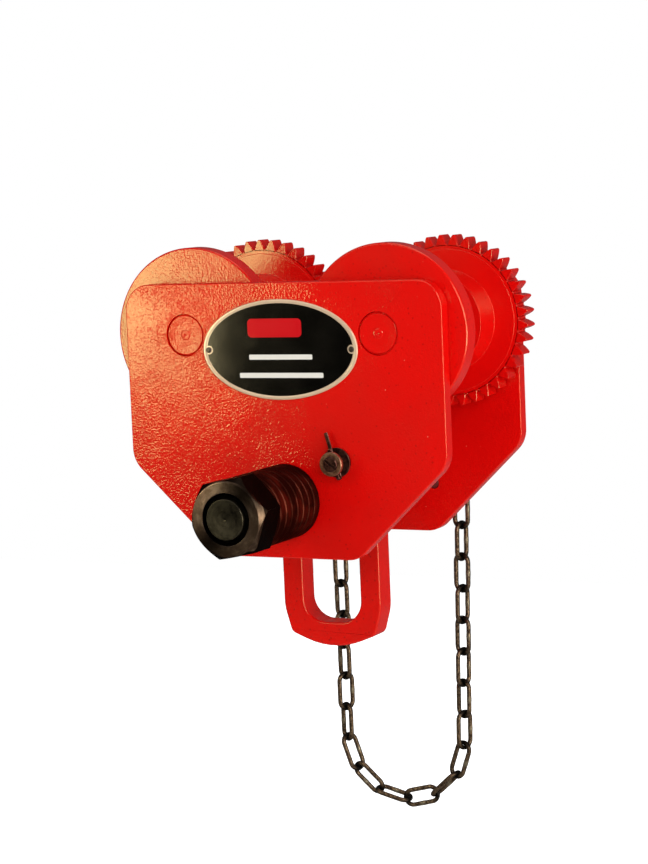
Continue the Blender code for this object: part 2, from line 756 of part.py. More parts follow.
def split_pin(name, centre, direction, side_step, legs, rod_radius, coat, parent=None):
    """A split pin bent from one flat-sided wire: two legs through the rod, an eye and both ends spread.

    `legs` is the reach of the long leg and how far the short leg is spread.
    """
    along = Vector(direction).normalized()
    across = Vector(side_step).normalized()
    half = PIN_LEG_GAP / 2
    through = rod_radius + PIN_STICK_OUT
    long_leg, spread = legs
    route = [
        along * long_leg + across * (half + PIN_BEND),
        along * (through + PIN_BEND) + across * half,
        along * -through + across * half,
        along * (-through - PIN_EYE_RADIUS * 0.6) + across * PIN_EYE_RADIUS,
    ]
    eye_centre = along * (-through - PIN_EYE_RADIUS * 1.5)
    for step in range(1, 4):
        angle = pi * step / 4
        reach = along * (-sin(angle)) + across * cos(angle)
        route.append(eye_centre + reach * PIN_EYE_RADIUS)
    route += [
        along * (-through - PIN_EYE_RADIUS * 0.6) - across * PIN_EYE_RADIUS,
        along * -through - across * half,
        along * (through + PIN_BEND) - across * half,
        along * (through + PIN_BEND + PIN_SHORT_LEG) - across * (half + spread),
    ]
    return place(name, swept_wire(route, along.cross(across)), coat, centre, parent)


def swept_wire(route, wide):
    """Sweeps an oval section along a route that lies in the plane square to `wide`, with closed ends."""
    bm = bmesh.new()
    rings = []
    for index, point in enumerate(route):
        before = route[max(index - 1, 0)]
        after = route[min(index + 1, len(route) - 1)]
        thin = (after - before).normalized().cross(wide)
        ring_points = []
        for side in range(PIN_SIDES):
            turn = 2 * pi * side / PIN_SIDES
            offset = wide * (cos(turn) * PIN_HALF_WIDTH) + thin * (sin(turn) * PIN_HALF_THICKNESS)
            ring_points.append(bm.verts.new(point + offset))
        rings.append(ring_points)
    for one, other in zip(rings, rings[1:]):
        for side in range(PIN_SIDES):
            after = (side + 1) % PIN_SIDES
            bm.faces.new((one[side], one[after], other[after], other[side]))
    bm.faces.new(rings[0])
    bm.faces.new(rings[-1])
    return bm


def drill_for_pin(rod, name, centre, along, parent=None):
    """Cuts a pin's hole across a rod."""
    reach = SHAFT_SEAT_RADIUS + CUT_PAST
    profile = [(0, -reach), (PIN_HOLE_RADIUS, -reach), (PIN_HOLE_RADIUS, reach), (0, reach)]
    drill = turned(name, profile, None, centre, parent, TINY)
    drill.rotation_euler = Vector((0, 1, 0)).rotation_difference(Vector(along)).to_euler()
    boolean(rod, drill, "DIFFERENCE")


def make_tie_rod(coats):
    """The plain rod that keeps both plates in line beside the hanger bolt, held by a split pin."""
    at = (TIE_ROD_X, 0, TIE_ROD_Z)
    end = -PLATE_OUTER - TIE_ROD_REACH
    head = PLATE_OUTER + SEAT
    points = [
        (0, end),
        (TIE_ROD_RADIUS - TIE_ROD_CHAMFER, end),
        (TIE_ROD_RADIUS, end + TIE_ROD_CHAMFER),
        (TIE_ROD_RADIUS, head),
        (TIE_ROD_HEAD_RADIUS, head),
        (TIE_ROD_HEAD_RADIUS, head + TIE_ROD_HEAD_HEIGHT),
        (0, head + TIE_ROD_HEAD_HEIGHT),
    ]
    rod = turned("tie_rod", points, coats["dark"], at, None, SMALL)
    half = TIE_ROD_SLOT / 2
    long = TIE_ROD_RADIUS + CUT_PAST
    along = Vector((cos(TIE_ROD_SLOT_TURN), sin(TIE_ROD_SLOT_TURN)))
    across = Vector((-along.y, along.x))
    corners = [along * a * long + across * b * half for a, b in ((1, 1), (-1, 1), (-1, -1), (1, -1))]
    depth = end + TIE_ROD_SLOT_DEPTH
    slot = prism("tool_tie_slot", [tuple(c) for c in corners], end - CUT_PAST, depth, None, at)
    boolean(rod, slot, "DIFFERENCE")

    bore = TIE_ROD_RADIUS + SEAT
    high = -PLATE_OUTER - SEAT
    low = high - TIE_WASHER_THICKNESS
    ring("tie_rod_washer", bore, TIE_WASHER_RADIUS, low, high, coats["dark"], at, None, SMALL)
    pin_room = SEAT + PIN_EYE_RADIUS + PIN_HALF_THICKNESS
    pin_y = low - pin_room
    high = pin_y - pin_room
    low = high - TIE_COLLAR_THICKNESS
    ring("tie_rod_collar", bore, TIE_COLLAR_RADIUS, low, high, coats["dark"], at, None, SMALL)

    centre = (TIE_ROD_X, pin_y, TIE_ROD_Z)
    name = "tie_rod_split_pin"
    drill_for_pin(rod, f"tool_{name}", centre, TIE_PIN_LEAN)
    legs = (TIE_PIN_LONG_LEG, TIE_PIN_SPREAD)
    split_pin(name, centre, TIE_PIN_LEAN, (0, 1, 0), legs, TIE_ROD_RADIUS, coats["dark"])


def make_drive(coats):
    """Pinion shaft, its boss and bush in the rear plate, and what holds the hand chain wheel on."""
    axis = empty_at("drive_axis", (0, 0, DRIVE_Z))
    at = (0, 0, DRIVE_Z)
    gear_low = inward(1, PLATE_TO_WHEEL + FLANGE_WIDTH)
    gear_high = inward(1, PLATE_TO_WHEEL)
    boss_high = PLATE_INNER + BOSS_LENGTH
    hub_low = CHAIN_PLANE - HUB_LENGTH / 2
    hub_high = CHAIN_PLANE + HUB_LENGTH / 2
    washer_low = hub_high + SEAT
    washer_high = washer_low + SHAFT_WASHER_THICKNESS
    pin_y = washer_high + SEAT + PIN_EYE_RADIUS + PIN_HALF_THICKNESS
    shaft_end = hub_high + SHAFT_TAIL
    bush_bore = running_bore(SHAFT_RADIUS)
    points = [
        (0, gear_low + PINION_END_STEP),
        (SHAFT_RADIUS, gear_low + PINION_END_STEP),
        (SHAFT_RADIUS, hub_low - RUNNING),
        (SHAFT_SEAT_RADIUS, hub_low - RUNNING),
        (SHAFT_SEAT_RADIUS, shaft_end - SHAFT_CHAMFER),
        (SHAFT_SEAT_RADIUS - SHAFT_CHAMFER, shaft_end),
        (0, shaft_end),
    ]
    shaft = turned("pinion_shaft", points, coats["dark"], at, axis)
    outline = toothed_outline(PINION_TEETH, 0.0, 2)
    teeth = prism("tool_pinion", outline, gear_low, gear_high, None, at, axis)
    boolean(shaft, teeth, "UNION")

    boss_low = PLATE_INNER + SEAT
    lip_low = PLATE_OUTER + SEAT
    boss_bore = bush_bore + BUSH_WALL + SEAT
    points = [
        (boss_bore, boss_low),
        (BOSS_RADIUS, boss_low),
        (BOSS_RADIUS, lip_low),
        (BOSS_LIP_RADIUS, lip_low),
        (BOSS_LIP_RADIUS, lip_low + BOSS_LIP_THICKNESS),
        (BOSS_RADIUS, lip_low + BOSS_LIP_THICKNESS + BOSS_LIP_TAPER),
        (BOSS_RADIUS, boss_high),
        (boss_bore, boss_high),
    ]
    turned("shaft_boss", points, coats["red"], at)
    flange_low = boss_high + SEAT
    flange_high = flange_low + BUSH_FLANGE
    points = [
        (bush_bore, boss_low),
        (bush_bore + BUSH_WALL, boss_low),
        (bush_bore + BUSH_WALL, flange_low),
        (bush_bore + BUSH_WALL + BUSH_FLANGE_WIDTH, flange_low),
        (bush_bore + BUSH_WALL + BUSH_FLANGE_WIDTH, flange_high),
        (bush_bore, flange_high),
    ]
    turned("shaft_bush", points, coats["bronze"], at)

    make_chain_wheel(axis, coats)
    bore = SHAFT_SEAT_RADIUS + SEAT
    ring("shaft_washer", bore, SHAFT_WASHER_RADIUS, washer_low, washer_high, coats["bright"], at, axis)
    centre = (0, pin_y, DRIVE_Z)
    up = (0, 0, 1)
    name = "shaft_split_pin"
    drill_for_pin(shaft, f"tool_{name}", centre, up, axis)
    legs = (SHAFT_PIN_LONG_LEG, SHAFT_PIN_SPREAD)
    split_pin(name, centre, up, (0, -1, 0), legs, SHAFT_SEAT_RADIUS, coats["bright"], axis)


def chain_apothem():
    """Distance from the wheel's centre to the middle of a link that lies on it."""
    return CHAIN_PITCH / 2 / tan(pi / (2 * POCKETS))


def make_chain_wheel(axis, coats):
    """A pocket wheel: upright links run in its centre groove, flat ones lie over a pocket between two ribs.

    The ribs stop just under the flat links, so that the wheel turns freely under the chain.
    """
    drum = chain_apothem() - WIRE / 2 - RUNNING
    groove = chain_apothem() - (LINK_WIDTH - WIRE) / 2 - WIRE / 2 - RUNNING
    flat = LINK_WIDTH / 2 + RUNNING
    half = RIM_WIDTH / 2
    under = groove - RIM_WALL
    count = POCKETS * STEPS_PER_POCKET
    bore = SHAFT_SEAT_RADIUS + SEAT

    def half_profile(from_pocket):
        """(radius, offset from the middle plane) from the groove's floor out over one flange to the hub."""
        in_pocket = 0.5 + 0.5 * cos(POCKETS * from_pocket)
        floor = drum - POCKET_DEPTH * in_pocket
        wall = flat + POCKET_FLARE * in_pocket
        return [
            (groove, 0.0),
            (groove, GROOVE_WIDTH / 2),
            (floor, GROOVE_WIDTH / 2),
            (floor, wall),
            (RIM_RADIUS, flat + RIM_FLARE),
            (RIM_RADIUS, half),
            (under, half),
            (under - RIM_DRAFT, WEB_THICKNESS / 2),
            (HUB_RADIUS + RIM_DRAFT, WEB_THICKNESS / 2),
            (HUB_RADIUS, HUB_LENGTH / 2),
            (bore, HUB_LENGTH / 2),
        ]

    # Two links meet straight above the shaft, and the flat one is half a link's turn to its left.
    first_pocket = pi / 2 + pi / (2 * POCKETS)
    bm = bmesh.new()
    loops = []
    for number in range(count):
        from_pocket = 2 * pi * number / count
        angle = first_pocket + from_pocket
        above = half_profile(from_pocket)
        section = above + [(radius, -offset) for radius, offset in reversed(above[1:])]
        loops.append(
            [
                bm.verts.new((radius * cos(angle), CHAIN_PLANE + offset, radius * sin(angle)))
                for radius, offset in section
            ]
        )
    for number in range(count):
        one = loops[number]
        other = loops[(number + 1) % count]
        for index in range(len(one)):
            after = (index + 1) % len(one)
            bm.faces.new((one[index], one[after], other[after], other[index]))
    place("hand_chain_wheel", bm, coats["red"], (0, 0, DRIVE_Z), axis)


def chain_joints():
    """The points where neighbouring links meet, once round the loop from the wheel's left side."""
    ring_radius = CHAIN_PITCH / 2 / sin(pi / (2 * POCKETS))
    on_wheel = POCKETS + 1
    step = pi / POCKETS
    joints = []
    for number in range(on_wheel + 1):
        angle = pi / 2 + step * (on_wheel / 2 - number)
        joints.append(Vector((ring_radius * cos(angle), DRIVE_Z + ring_radius * sin(angle))))
    left_top, right_top = joints[0], joints[-1]
    right = [
        right_top + Vector((-sin(RIGHT_RUN_LEAN), -cos(RIGHT_RUN_LEAN))) * CHAIN_PITCH * number
        for number in range(1, RUN_LINKS + 1)
    ]
    left = [
        left_top + Vector((-sin(LEFT_RUN_LEAN), -cos(LEFT_RUN_LEAN))) * CHAIN_PITCH * number
        for number in range(1, RUN_LINKS + 1)
    ]
    bottom = arc_of_chords(right[-1], left[-1], BOTTOM_LINKS, CHAIN_PITCH)
    return joints + right + bottom + left[::-1]


def arc_of_chords(start, end, count, chord):
    """The inner points of a hanging arc of `count` equal chords from start to end, below both."""
    span = (end - start).length
    small, large = chord / 2 / sin(pi / count) + 1e-6, 1.0
    for _ in range(60):
        radius = (small + large) / 2
        half_turn = asin(min(1.0, chord / 2 / radius)) * count
        reached = 2 * radius * sin(half_turn)
        if reached > span:
            large = radius
        else:
            small = radius
    half_turn = asin(chord / 2 / radius) * count
    middle = (start + end) / 2
    across = (end - start).normalized()
    down = Vector((across.y, -across.x))
    if down.y > 0:
        down = -down
    centre = middle + down * (-radius * cos(half_turn))
    points = []
    for number in range(1, count):
        angle = -half_turn + 2 * half_turn * number / count
        points.append(centre + across * (radius * sin(angle)) + down * (radius * cos(angle)))
    return points


def add_link(bm, start, end, upright, twist, loose_start, loose_end):
    """Adds one link between two joints, with an odd number of bends round each end so that it ends flat.

    Inside a group the ends sink a little into each other, and a loose end stands off the next group.
    """
    middle = (start + end) / 2
    flat = (end - start).normalized()
    along = Vector((flat.x, 0, flat.y))
    third = Vector((0, 1, 0))
    across = along.cross(third) if upright else third
    across = across * cos(twist) + along.cross(across) * sin(twist)
    normal = along.cross(across)
    centre = Vector((middle.x, CHAIN_PLANE, middle.y))
    bend = (LINK_WIDTH - WIRE) / 2
    wire = WIRE / 2 * LINK_FULLNESS
    touching = CHAIN_PITCH / 2 + wire * cos(pi / LINK_SIDES)
    end_height = bend * cos(pi / 2 / LINK_BENDS)
    rings = []
    for sign, loose in ((1, loose_end), (-1, loose_start)):
        bend_centre = touching + (LOOSE_JOINT if loose else -FUSED_JOINT) / 2 - end_height
        for number in range(LINK_BENDS + 1):
            angle = -pi / 2 + pi * number / LINK_BENDS
            outward = (along * cos(angle) + across * sin(angle)) * sign
            at = centre + along * sign * bend_centre + outward * bend
            loop = []
            for side in range(LINK_SIDES):
                turn = 2 * pi * side / LINK_SIDES
                loop.append(bm.verts.new(at + (outward * cos(turn) + normal * sin(turn)) * wire))
            rings.append(loop)
    for index, loop in enumerate(rings):
        other = rings[(index + 1) % len(rings)]
        for side in range(LINK_SIDES):
            after = (side + 1) % LINK_SIDES
            bm.faces.new((loop[side], loop[after], other[after], other[side]))


def make_chain(coat):
    """The endless hand chain, as four groups of links. Links of a group touch and are one solid."""
    joints = chain_joints()
    count = len(joints)
    on_wheel = POCKETS + 1
    groups = [
        ("hand_chain_over_wheel", 0, on_wheel),
        ("hand_chain_right_run", on_wheel, RUN_LINKS),
        ("hand_chain_bottom", on_wheel + RUN_LINKS, BOTTOM_LINKS),
        ("hand_chain_left_run", on_wheel + RUN_LINKS + BOTTOM_LINKS, RUN_LINKS),
    ]
    right_end = RIGHT_RUN_TWIST * RUN_LINKS
    left_end = LEFT_RUN_TWIST * RUN_LINKS

    def twist_of(group, place_in_group, size):
        if group == "hand_chain_over_wheel":
            return 0.0
        if group == "hand_chain_right_run":
            return RIGHT_RUN_TWIST * (place_in_group + 1)
        if group == "hand_chain_bottom":
            share = (place_in_group + 1) / (size + 1)
            return right_end + (left_end - right_end) * share
        return LEFT_RUN_TWIST * (size - place_in_group)

    for name, first, size in groups:
        meshes = [bmesh.new(), bmesh.new()]
        for number in range(size):
            index = first + number
            add_link(
                meshes[number % 2],
                joints[index % count],
                joints[(index + 1) % count],
                index % 2 == 0,
                twist_of(name, number, size),
                number == 0,
                number == size - 1,
            )
        run = place(name, meshes[0], coat, sharp=radians(80))
        others = place(f"tool_{name}", meshes[1], None, sharp=radians(80))
        boolean(run, others, "UNION")


def guide_x(side):
    """Where the run of chain on that side passes the top of its guide."""
    joints = chain_joints()
    top = joints[POCKETS + 1] if side > 0 else joints[0]
    lean = RIGHT_RUN_LEAN if side > 0 else LEFT_RUN_LEAN
    return top.x - tan(lean) * (top.y - GUIDE_TOP)


def guide_screw_z():
    return GUIDE_TOP - GUIDE_DROP * GUIDE_SCREW_SHARE


def make_chain_guides(coats):
    """An angle bracket below the wheel on each side, with a slot that a run of the chain passes through."""
    base = PLATE_OUTER + SEAT
    far = CHAIN_PLANE + GUIDE_SLOT / 2 + GUIDE_MARGIN
    bend = GUIDE_SHEET
    for word, sign in (("left", -1), ("right", 1)):
        x = guide_x(sign)
        section = [
            (far, GUIDE_TOP),
            (far, GUIDE_TOP - GUIDE_SHEET),
            (base + GUIDE_SHEET + bend, GUIDE_TOP - GUIDE_SHEET),
            (base + GUIDE_SHEET + bend * 0.3, GUIDE_TOP - GUIDE_SHEET - bend * 0.3),
            (base + GUIDE_SHEET, GUIDE_TOP - GUIDE_SHEET - bend),
            (base + GUIDE_SHEET, GUIDE_TOP - GUIDE_DROP),
            (base, GUIDE_TOP - GUIDE_DROP),
            (base, GUIDE_TOP - bend * 1.5),
            (base + bend * 0.45, GUIDE_TOP - bend * 0.45),
            (base + bend * 1.5, GUIDE_TOP),
        ]
        bm = bmesh.new()
        face = bm.faces.new([bm.verts.new((x - GUIDE_WIDTH / 2, y, z)) for y, z in section])
        extruded = bmesh.ops.extrude_face_region(bm, geom=[face])["geom"]
        moved = [part for part in extruded if isinstance(part, bmesh.types.BMVert)]
        bmesh.ops.translate(bm, verts=moved, vec=(GUIDE_WIDTH, 0, 0))
        guide = place(f"chain_guide_{word}", bm, coats["red"])
        bm = bmesh.new()
        bmesh.ops.create_cube(bm, size=1)
        bmesh.ops.scale(bm, verts=bm.verts, vec=(GUIDE_SLOT, GUIDE_SLOT, GUIDE_SHEET * 4))
        bmesh.ops.translate(bm, verts=bm.verts, vec=(x, CHAIN_PLANE, GUIDE_TOP))
        upright = [e for e in bm.edges if abs(e.verts[0].co.z - e.verts[1].co.z) > GUIDE_SHEET]
        bmesh.ops.bevel(
            bm, geom=upright, offset=GUIDE_SLOT_FILLET, segments=2, profile=0.5, affect="EDGES"
        )
        boolean(guide, place(f"tool_guide_slot_{word}", bm, None), "DIFFERENCE")
        at = (x, 0, guide_screw_z())
        name = f"tool_guide_hole_{word}"
        front = base + GUIDE_SHEET + CUT_PAST
        screw_hole = hole(name, SCREW_RADIUS + SEAT, base - CUT_PAST, front, at, None, TINY)
        boolean(guide, screw_hole, "DIFFERENCE")
        head_low = base + GUIDE_SHEET + SEAT
        head_high = head_low + SCREW_HEAD_HEIGHT
        name = f"guide_screw_{word}"
        head = regular_polygon(SCREW_HEAD_FLATS, 6, 0)
        screw = prism(name, head, head_low, head_high, coats["bright"], at)
        into_head = head_low + SCREW_HEAD_HEIGHT / 2
        shank = hole(f"tool_{name}", SCREW_RADIUS, PLATE_INNER + SEAT, into_head, at, None, TINY)
        boolean(screw, shank, "UNION")


def main():
    clear_scene()
    coats = {
        "red": paint("red_paint", (0.68, 0.012, 0.008), 0.35, 0.0),
        "dark": paint("dark_oiled_steel", (0.045, 0.03, 0.025), 0.35, 0.9),
        "axle": paint("painted_axle_end", (0.68, 0.012, 0.008), 0.4, 0.0),
        "bright": paint("bright_steel", (0.5, 0.5, 0.5), 0.35, 1.0),
        "chain": paint("chain_steel", (0.10, 0.085, 0.05), 0.5, 0.8),
        "label": paint("black_nameplate", (0.012, 0.012, 0.010), 0.35, 0.1),
        "bronze": paint("bush_bronze", (0.45, 0.28, 0.12), 0.4, 1.0),
    }
    make_side_plate("front_side_plate", -1, coats["red"])
    make_side_plate("rear_side_plate", 1, coats["red"])
    make_nameplate(coats["label"], coats["bright"])
    for word, sign in (("left", -1), ("right", 1)):
        make_plain_wheel(f"front_{word}", sign * WHEEL_X, coats)
        make_geared_wheel(f"rear_{word}", sign * WHEEL_X, coats)
    make_hanger(coats)
    make_suspension_plate(coats["red"])
    make_tie_rod(coats)
    make_drive(coats)
    make_chain_guides(coats)
    make_chain(coats["chain"])


main()
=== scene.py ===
# %% [markdown]
# # A geared beam trolley, dressed for the camera
#
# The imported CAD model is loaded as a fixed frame. Each cell below makes one piece or one finish of the
# trolley: what it is on the real one, how it can be made in Blender, and why it is made that way here.
# All sizes are metres. X is the way it rolls, +Y points to the geared side, +Z is up, and the origin is
# midway between the side plates at the height of the wheel treads.

import json
from math import acos, asin, atan2, cos, pi, radians, sin, sqrt, tan

import bmesh
import bpy
from mathutils import Matrix, Vector

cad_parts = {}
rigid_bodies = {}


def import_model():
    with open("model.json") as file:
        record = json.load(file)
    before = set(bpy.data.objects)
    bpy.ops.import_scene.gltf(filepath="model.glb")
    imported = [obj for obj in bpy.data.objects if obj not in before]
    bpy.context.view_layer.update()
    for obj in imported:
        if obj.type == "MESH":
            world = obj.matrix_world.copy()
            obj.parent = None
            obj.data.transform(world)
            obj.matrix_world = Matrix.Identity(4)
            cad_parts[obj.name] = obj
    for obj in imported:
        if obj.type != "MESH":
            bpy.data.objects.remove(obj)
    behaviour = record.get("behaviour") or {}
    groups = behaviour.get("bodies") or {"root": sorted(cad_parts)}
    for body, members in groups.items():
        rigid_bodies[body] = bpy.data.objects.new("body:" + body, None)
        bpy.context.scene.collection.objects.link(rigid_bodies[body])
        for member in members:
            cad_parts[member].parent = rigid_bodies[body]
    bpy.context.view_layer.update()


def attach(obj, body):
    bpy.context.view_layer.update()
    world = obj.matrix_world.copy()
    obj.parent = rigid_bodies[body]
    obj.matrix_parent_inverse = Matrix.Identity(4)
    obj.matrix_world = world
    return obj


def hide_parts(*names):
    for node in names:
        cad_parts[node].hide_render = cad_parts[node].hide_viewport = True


for leftover in list(bpy.data.objects):
    bpy.data.objects.remove(leftover)
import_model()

# %% [markdown]
# ## Camera
#
# The camera stands to the right of the nameplate's side, a little above it, looking six degrees down
# and rolled by two and a half. A long lens keeps the plates' edges almost parallel. The rotation is
# given as the directions of the picture's right, top and view.

# %% Camera
camera = bpy.data.objects.new("camera", bpy.data.cameras.new("camera"))
bpy.context.scene.collection.objects.link(camera)
right = Vector((0.8944, 0.4454, -0.0423)).normalized()
ahead = Vector((-0.4473, 0.8878, -0.1083)).normalized()
up = right.cross(ahead).normalized()
turned_to = Matrix((right, up, -ahead)).transposed().to_4x4()
camera.matrix_world = Matrix.Translation((0.9657, -1.9299, 0.1851)) @ turned_to
camera.data.sensor_width = 36
camera.data.lens = 99.42
camera.data.clip_start = 0.05
camera.data.clip_end = 60
bpy.context.scene.camera = camera
print("camera", [round(value, 4) for value in camera.location], "lens", camera.data.lens)

# %% [markdown]
# ## Sizes
#
# The dressed pieces take the place of plain CAD solids, so they need the same sizes. The CAD source
# can't be read from here, so its sizes are repeated, and what follows from them is computed.

# %% Sizes of the frame and wheels
SEAT = 0.0003
PLATE_INNER, PLATE_OUTER = 0.0785, 0.0915
WHEEL_X, WHEEL_Z = 0.09465, 0.046
GEAR_MODULE, WHEEL_TEETH, PINION_TEETH = 0.004, 37, 13
PRESSURE_ANGLE = radians(25)
GEAR_RADIUS = GEAR_MODULE * WHEEL_TEETH / 2
PINION_RADIUS = GEAR_MODULE * PINION_TEETH / 2
DRIVE_Z = WHEEL_Z - sqrt((GEAR_RADIUS + PINION_RADIUS) ** 2 - WHEEL_X**2)
BOLT_Z = -0.1005
CHAIN_PLANE = 0.1435
WIRE, CHAIN_PITCH, LINK_WIDTH, POCKETS = 0.00435, 0.0308, 0.0196, 7
NAMEPLATE_Z = 0.0328
print("drive shaft at z", round(DRIVE_Z, 5))

# %% [markdown]
# ## Three ways to make a mesh
#
# Nearly every piece of a trolley is turned on a lathe or cut from plate. `turned` spins a profile round
# the Y axis, as a lathe does. `cut_plate` pushes an outline through the plate's thickness, drills its
# holes with Booleans and softens its edges with a Bevel. Both end in `settle`, which joins loose points,
# points the faces outwards, gives the flat faces their own normals and records how sharp each edge is,
# so that a finish can wear there first.

# %% Outlines with rounded corners
def rounded(corners, step=radians(6)):
    """Replaces each (u, v, fillet) corner of a closed outline by an arc tangent to both its sides."""
    outline = []
    for index, (u, v, fillet) in enumerate(corners):
        corner = Vector((u, v))
        to_before = Vector(corners[index - 1][:2]) - corner
        to_after = Vector(corners[(index + 1) % len(corners)][:2]) - corner
        half = to_before.angle(to_after) / 2
        if fillet <= 0 or half > radians(89):
            outline.append((u, v))
            continue
        centre = corner + (to_before.normalized() + to_after.normalized()).normalized() * (fillet / sin(half))
        first = corner + to_before.normalized() * (fillet / tan(half)) - centre
        last = corner + to_after.normalized() * (fillet / tan(half)) - centre
        turn = atan2(first.cross(last), first.dot(last))
        steps = max(1, round(abs(turn) / step))
        start = atan2(first.y, first.x)
        for number in range(steps + 1):
            angle = start + turn * number / steps
            outline.append((centre.x + fillet * cos(angle), centre.y + fillet * sin(angle)))
    return outline


def softened(points, size, step=radians(30)):
    """Gives a lathe profile's corners a small fillet, and less where the neighbouring face is short."""
    corners = []
    for index, (radius, y) in enumerate(points):
        here = Vector((radius, y))
        before = Vector(points[index - 1]) - here
        after = Vector(points[(index + 1) % len(points)]) - here
        room = 0.42 * min(before.length, after.length)
        half = max(before.angle(after) / 2, 0.05)
        fillet = min(size, room * tan(half)) if radius > 1e-6 else 0
        corners.append((radius, y, fillet))
    return rounded(corners, step)


print("helpers: rounded, softened")

# %% From a mesh to a settled piece
def edge_sharpness(mesh):
    """Stores how much the surface turns at each point, from 0 on a flat or gently curved face to 1."""
    bm = bmesh.new()
    bm.from_mesh(mesh)
    values = [0.0] * len(bm.verts)
    for edge in bm.edges:
        if len(edge.link_faces) == 2 and edge.is_convex:
            turn = edge.calc_face_angle(0.0)
            wear_and_shade = min(1.0, max(0.0, (turn - radians(9)) / radians(20)))
            for vert in edge.verts:
                values[vert.index] = max(values[vert.index], wear_and_shade)
    bm.free()
    attribute = mesh.attributes.new("edge", "FLOAT", "POINT")
    attribute.data.foreach_set("value", values)


def plain_mesh(thing):
    """Turns an object with its modifiers into one plain mesh at the origin."""
    bpy.context.view_layer.update()
    graph = bpy.context.evaluated_depsgraph_get()
    mesh = bpy.data.meshes.new_from_object(thing.evaluated_get(graph))
    mesh.transform(thing.matrix_world)
    return mesh


def new_object(name, mesh):
    thing = bpy.data.objects.new(name, mesh)
    bpy.context.scene.collection.objects.link(thing)
    return thing


def settle(name, source, finish, body, stands_for=(), sharp=radians(50)):
    """Gives a mesh its shading and finish, and lets it ride on its CAD body in place of plain nodes."""
    mesh = source
    if isinstance(source, bmesh.types.BMesh):
        bmesh.ops.remove_doubles(source, verts=source.verts, dist=1e-7)
        bmesh.ops.recalc_face_normals(source, faces=source.faces)
        mesh = bpy.data.meshes.new(name)
        source.to_mesh(mesh)
        source.free()
    mesh.materials.clear()
    mesh.shade_smooth()
    mesh.set_sharp_from_angle(angle=sharp)
    draft = new_object(f"draft_{name}", mesh)
    flat_faces = draft.modifiers.new("flat faces", "WEIGHTED_NORMAL")
    flat_faces.keep_sharp = True
    done = plain_mesh(draft)
    bpy.data.objects.remove(draft)
    done.name = name
    edge_sharpness(done)
    done.materials.append(finish)
    piece = new_object(name, done)
    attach(piece, body)
    if stands_for:
        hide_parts(*stands_for)
    print(f"{name}: {len(done.polygons)} faces, for {', '.join(stands_for) or 'nothing'}")
    return piece


# %% Lathe
def lathe(profile, centre=(0, 0), segments=96):
    """Spins (radius, y) points round the line along Y through (x, z)."""
    bm = bmesh.new()
    loops = []
    for radius, y in profile:
        if radius < 1e-6:
            loops.append([bm.verts.new((centre[0], y, centre[1]))])
            continue
        loop = []
        for number in range(segments):
            angle = 2 * pi * number / segments
            loop.append(bm.verts.new((centre[0] + radius * cos(angle), y, centre[1] + radius * sin(angle))))
        loops.append(loop)
    for index, one in enumerate(loops):
        other = loops[(index + 1) % len(loops)]
        if len(one) == 1 and len(other) == 1:
            continue
        for number in range(segments):
            after = (number + 1) % segments
            corners = [
                one[number % len(one)],
                one[after % len(one)],
                other[after % len(other)],
                other[number % len(other)],
            ]
            unique = list(dict.fromkeys(corners))
            bm.faces.new(unique)
    return bm


def turned(name, points, centre, finish, body, stands_for=(), soften=0.0006, segments=96):
    profile = softened(points, soften) if soften else points
    return settle(name, lathe(profile, centre, segments), finish, body, stands_for)


# %% Plate cutting
def extruded(points, way):
    """Pushes a flat outline of points along a vector."""
    bm = bmesh.new()
    face = bm.faces.new([bm.verts.new(point) for point in points])
    made = bmesh.ops.extrude_face_region(bm, geom=[face])["geom"]
    bmesh.ops.translate(bm, verts=[v for v in made if isinstance(v, bmesh.types.BMVert)], vec=way)
    bmesh.ops.recalc_face_normals(bm, faces=bm.faces)
    return bm


def pushed(outline, low, high):
    """Extrudes an (x, z) outline along Y."""
    return extruded([(x, low, z) for x, z in outline], (0, high - low, 0))


def cylinder(radius, low, high, centre, segments):
    return lathe([(0, low), (radius, low), (radius, high), (0, high)], centre, segments)


def bridge(bm, one, other):
    """Joins two loops of equally many points by a band of four-sided faces."""
    for number in range(len(one)):
        after = (number + 1) % len(one)
        bm.faces.new((one[number], one[after], other[after], other[number]))


def carve(thing, tools, operation="DIFFERENCE"):
    for tool in tools:
        cut = thing.modifiers.new(tool.name, "BOOLEAN")
        cut.operation, cut.object = operation, tool


def discard(*things):
    for thing in things:
        bpy.data.objects.remove(thing)


def as_object(name, bm):
    bmesh.ops.remove_doubles(bm, verts=bm.verts, dist=1e-7)
    bmesh.ops.recalc_face_normals(bm, faces=bm.faces)
    mesh = bpy.data.meshes.new(name)
    bm.to_mesh(mesh)
    bm.free()
    return new_object(name, mesh)


def soften_edges(thing, width, angle):
    """Rounds every edge that turns by more than the angle."""
    bevel = thing.modifiers.new("softened edge", "BEVEL")
    bevel.width, bevel.segments = width, 4
    bevel.limit_method, bevel.angle_limit = "ANGLE", radians(angle)


def cut_plate(name, outline, low, high, round_holes, finish, body, stands_for, edges, cutters=()):
    """A flat piece of plate with drilled holes, given as (x, z, radius).

    `edges` is how far its outline is rounded, and then how far its holes are.
    """
    edge, hole_edge = edges
    blank = as_object(f"blank_{name}", pushed(outline, low, high))
    past = 0.002
    tools = [
        as_object(f"drill_{name}_{number}", cylinder(r, low - past, high + past, (x, z), 64))
        for number, (x, z, r) in enumerate(round_holes)
    ]
    tools += [as_object(f"cutter_{name}_{number}", bm) for number, bm in enumerate(cutters)]
    if edge != hole_edge:
        soften_edges(blank, edge, 40)
    carve(blank, tools)
    soften_edges(blank, hole_edge, 60)
    mesh = plain_mesh(blank)
    discard(blank, *tools)
    return settle(name, mesh, finish, body, stands_for)


print("helpers: lathe, turned, cut_plate")

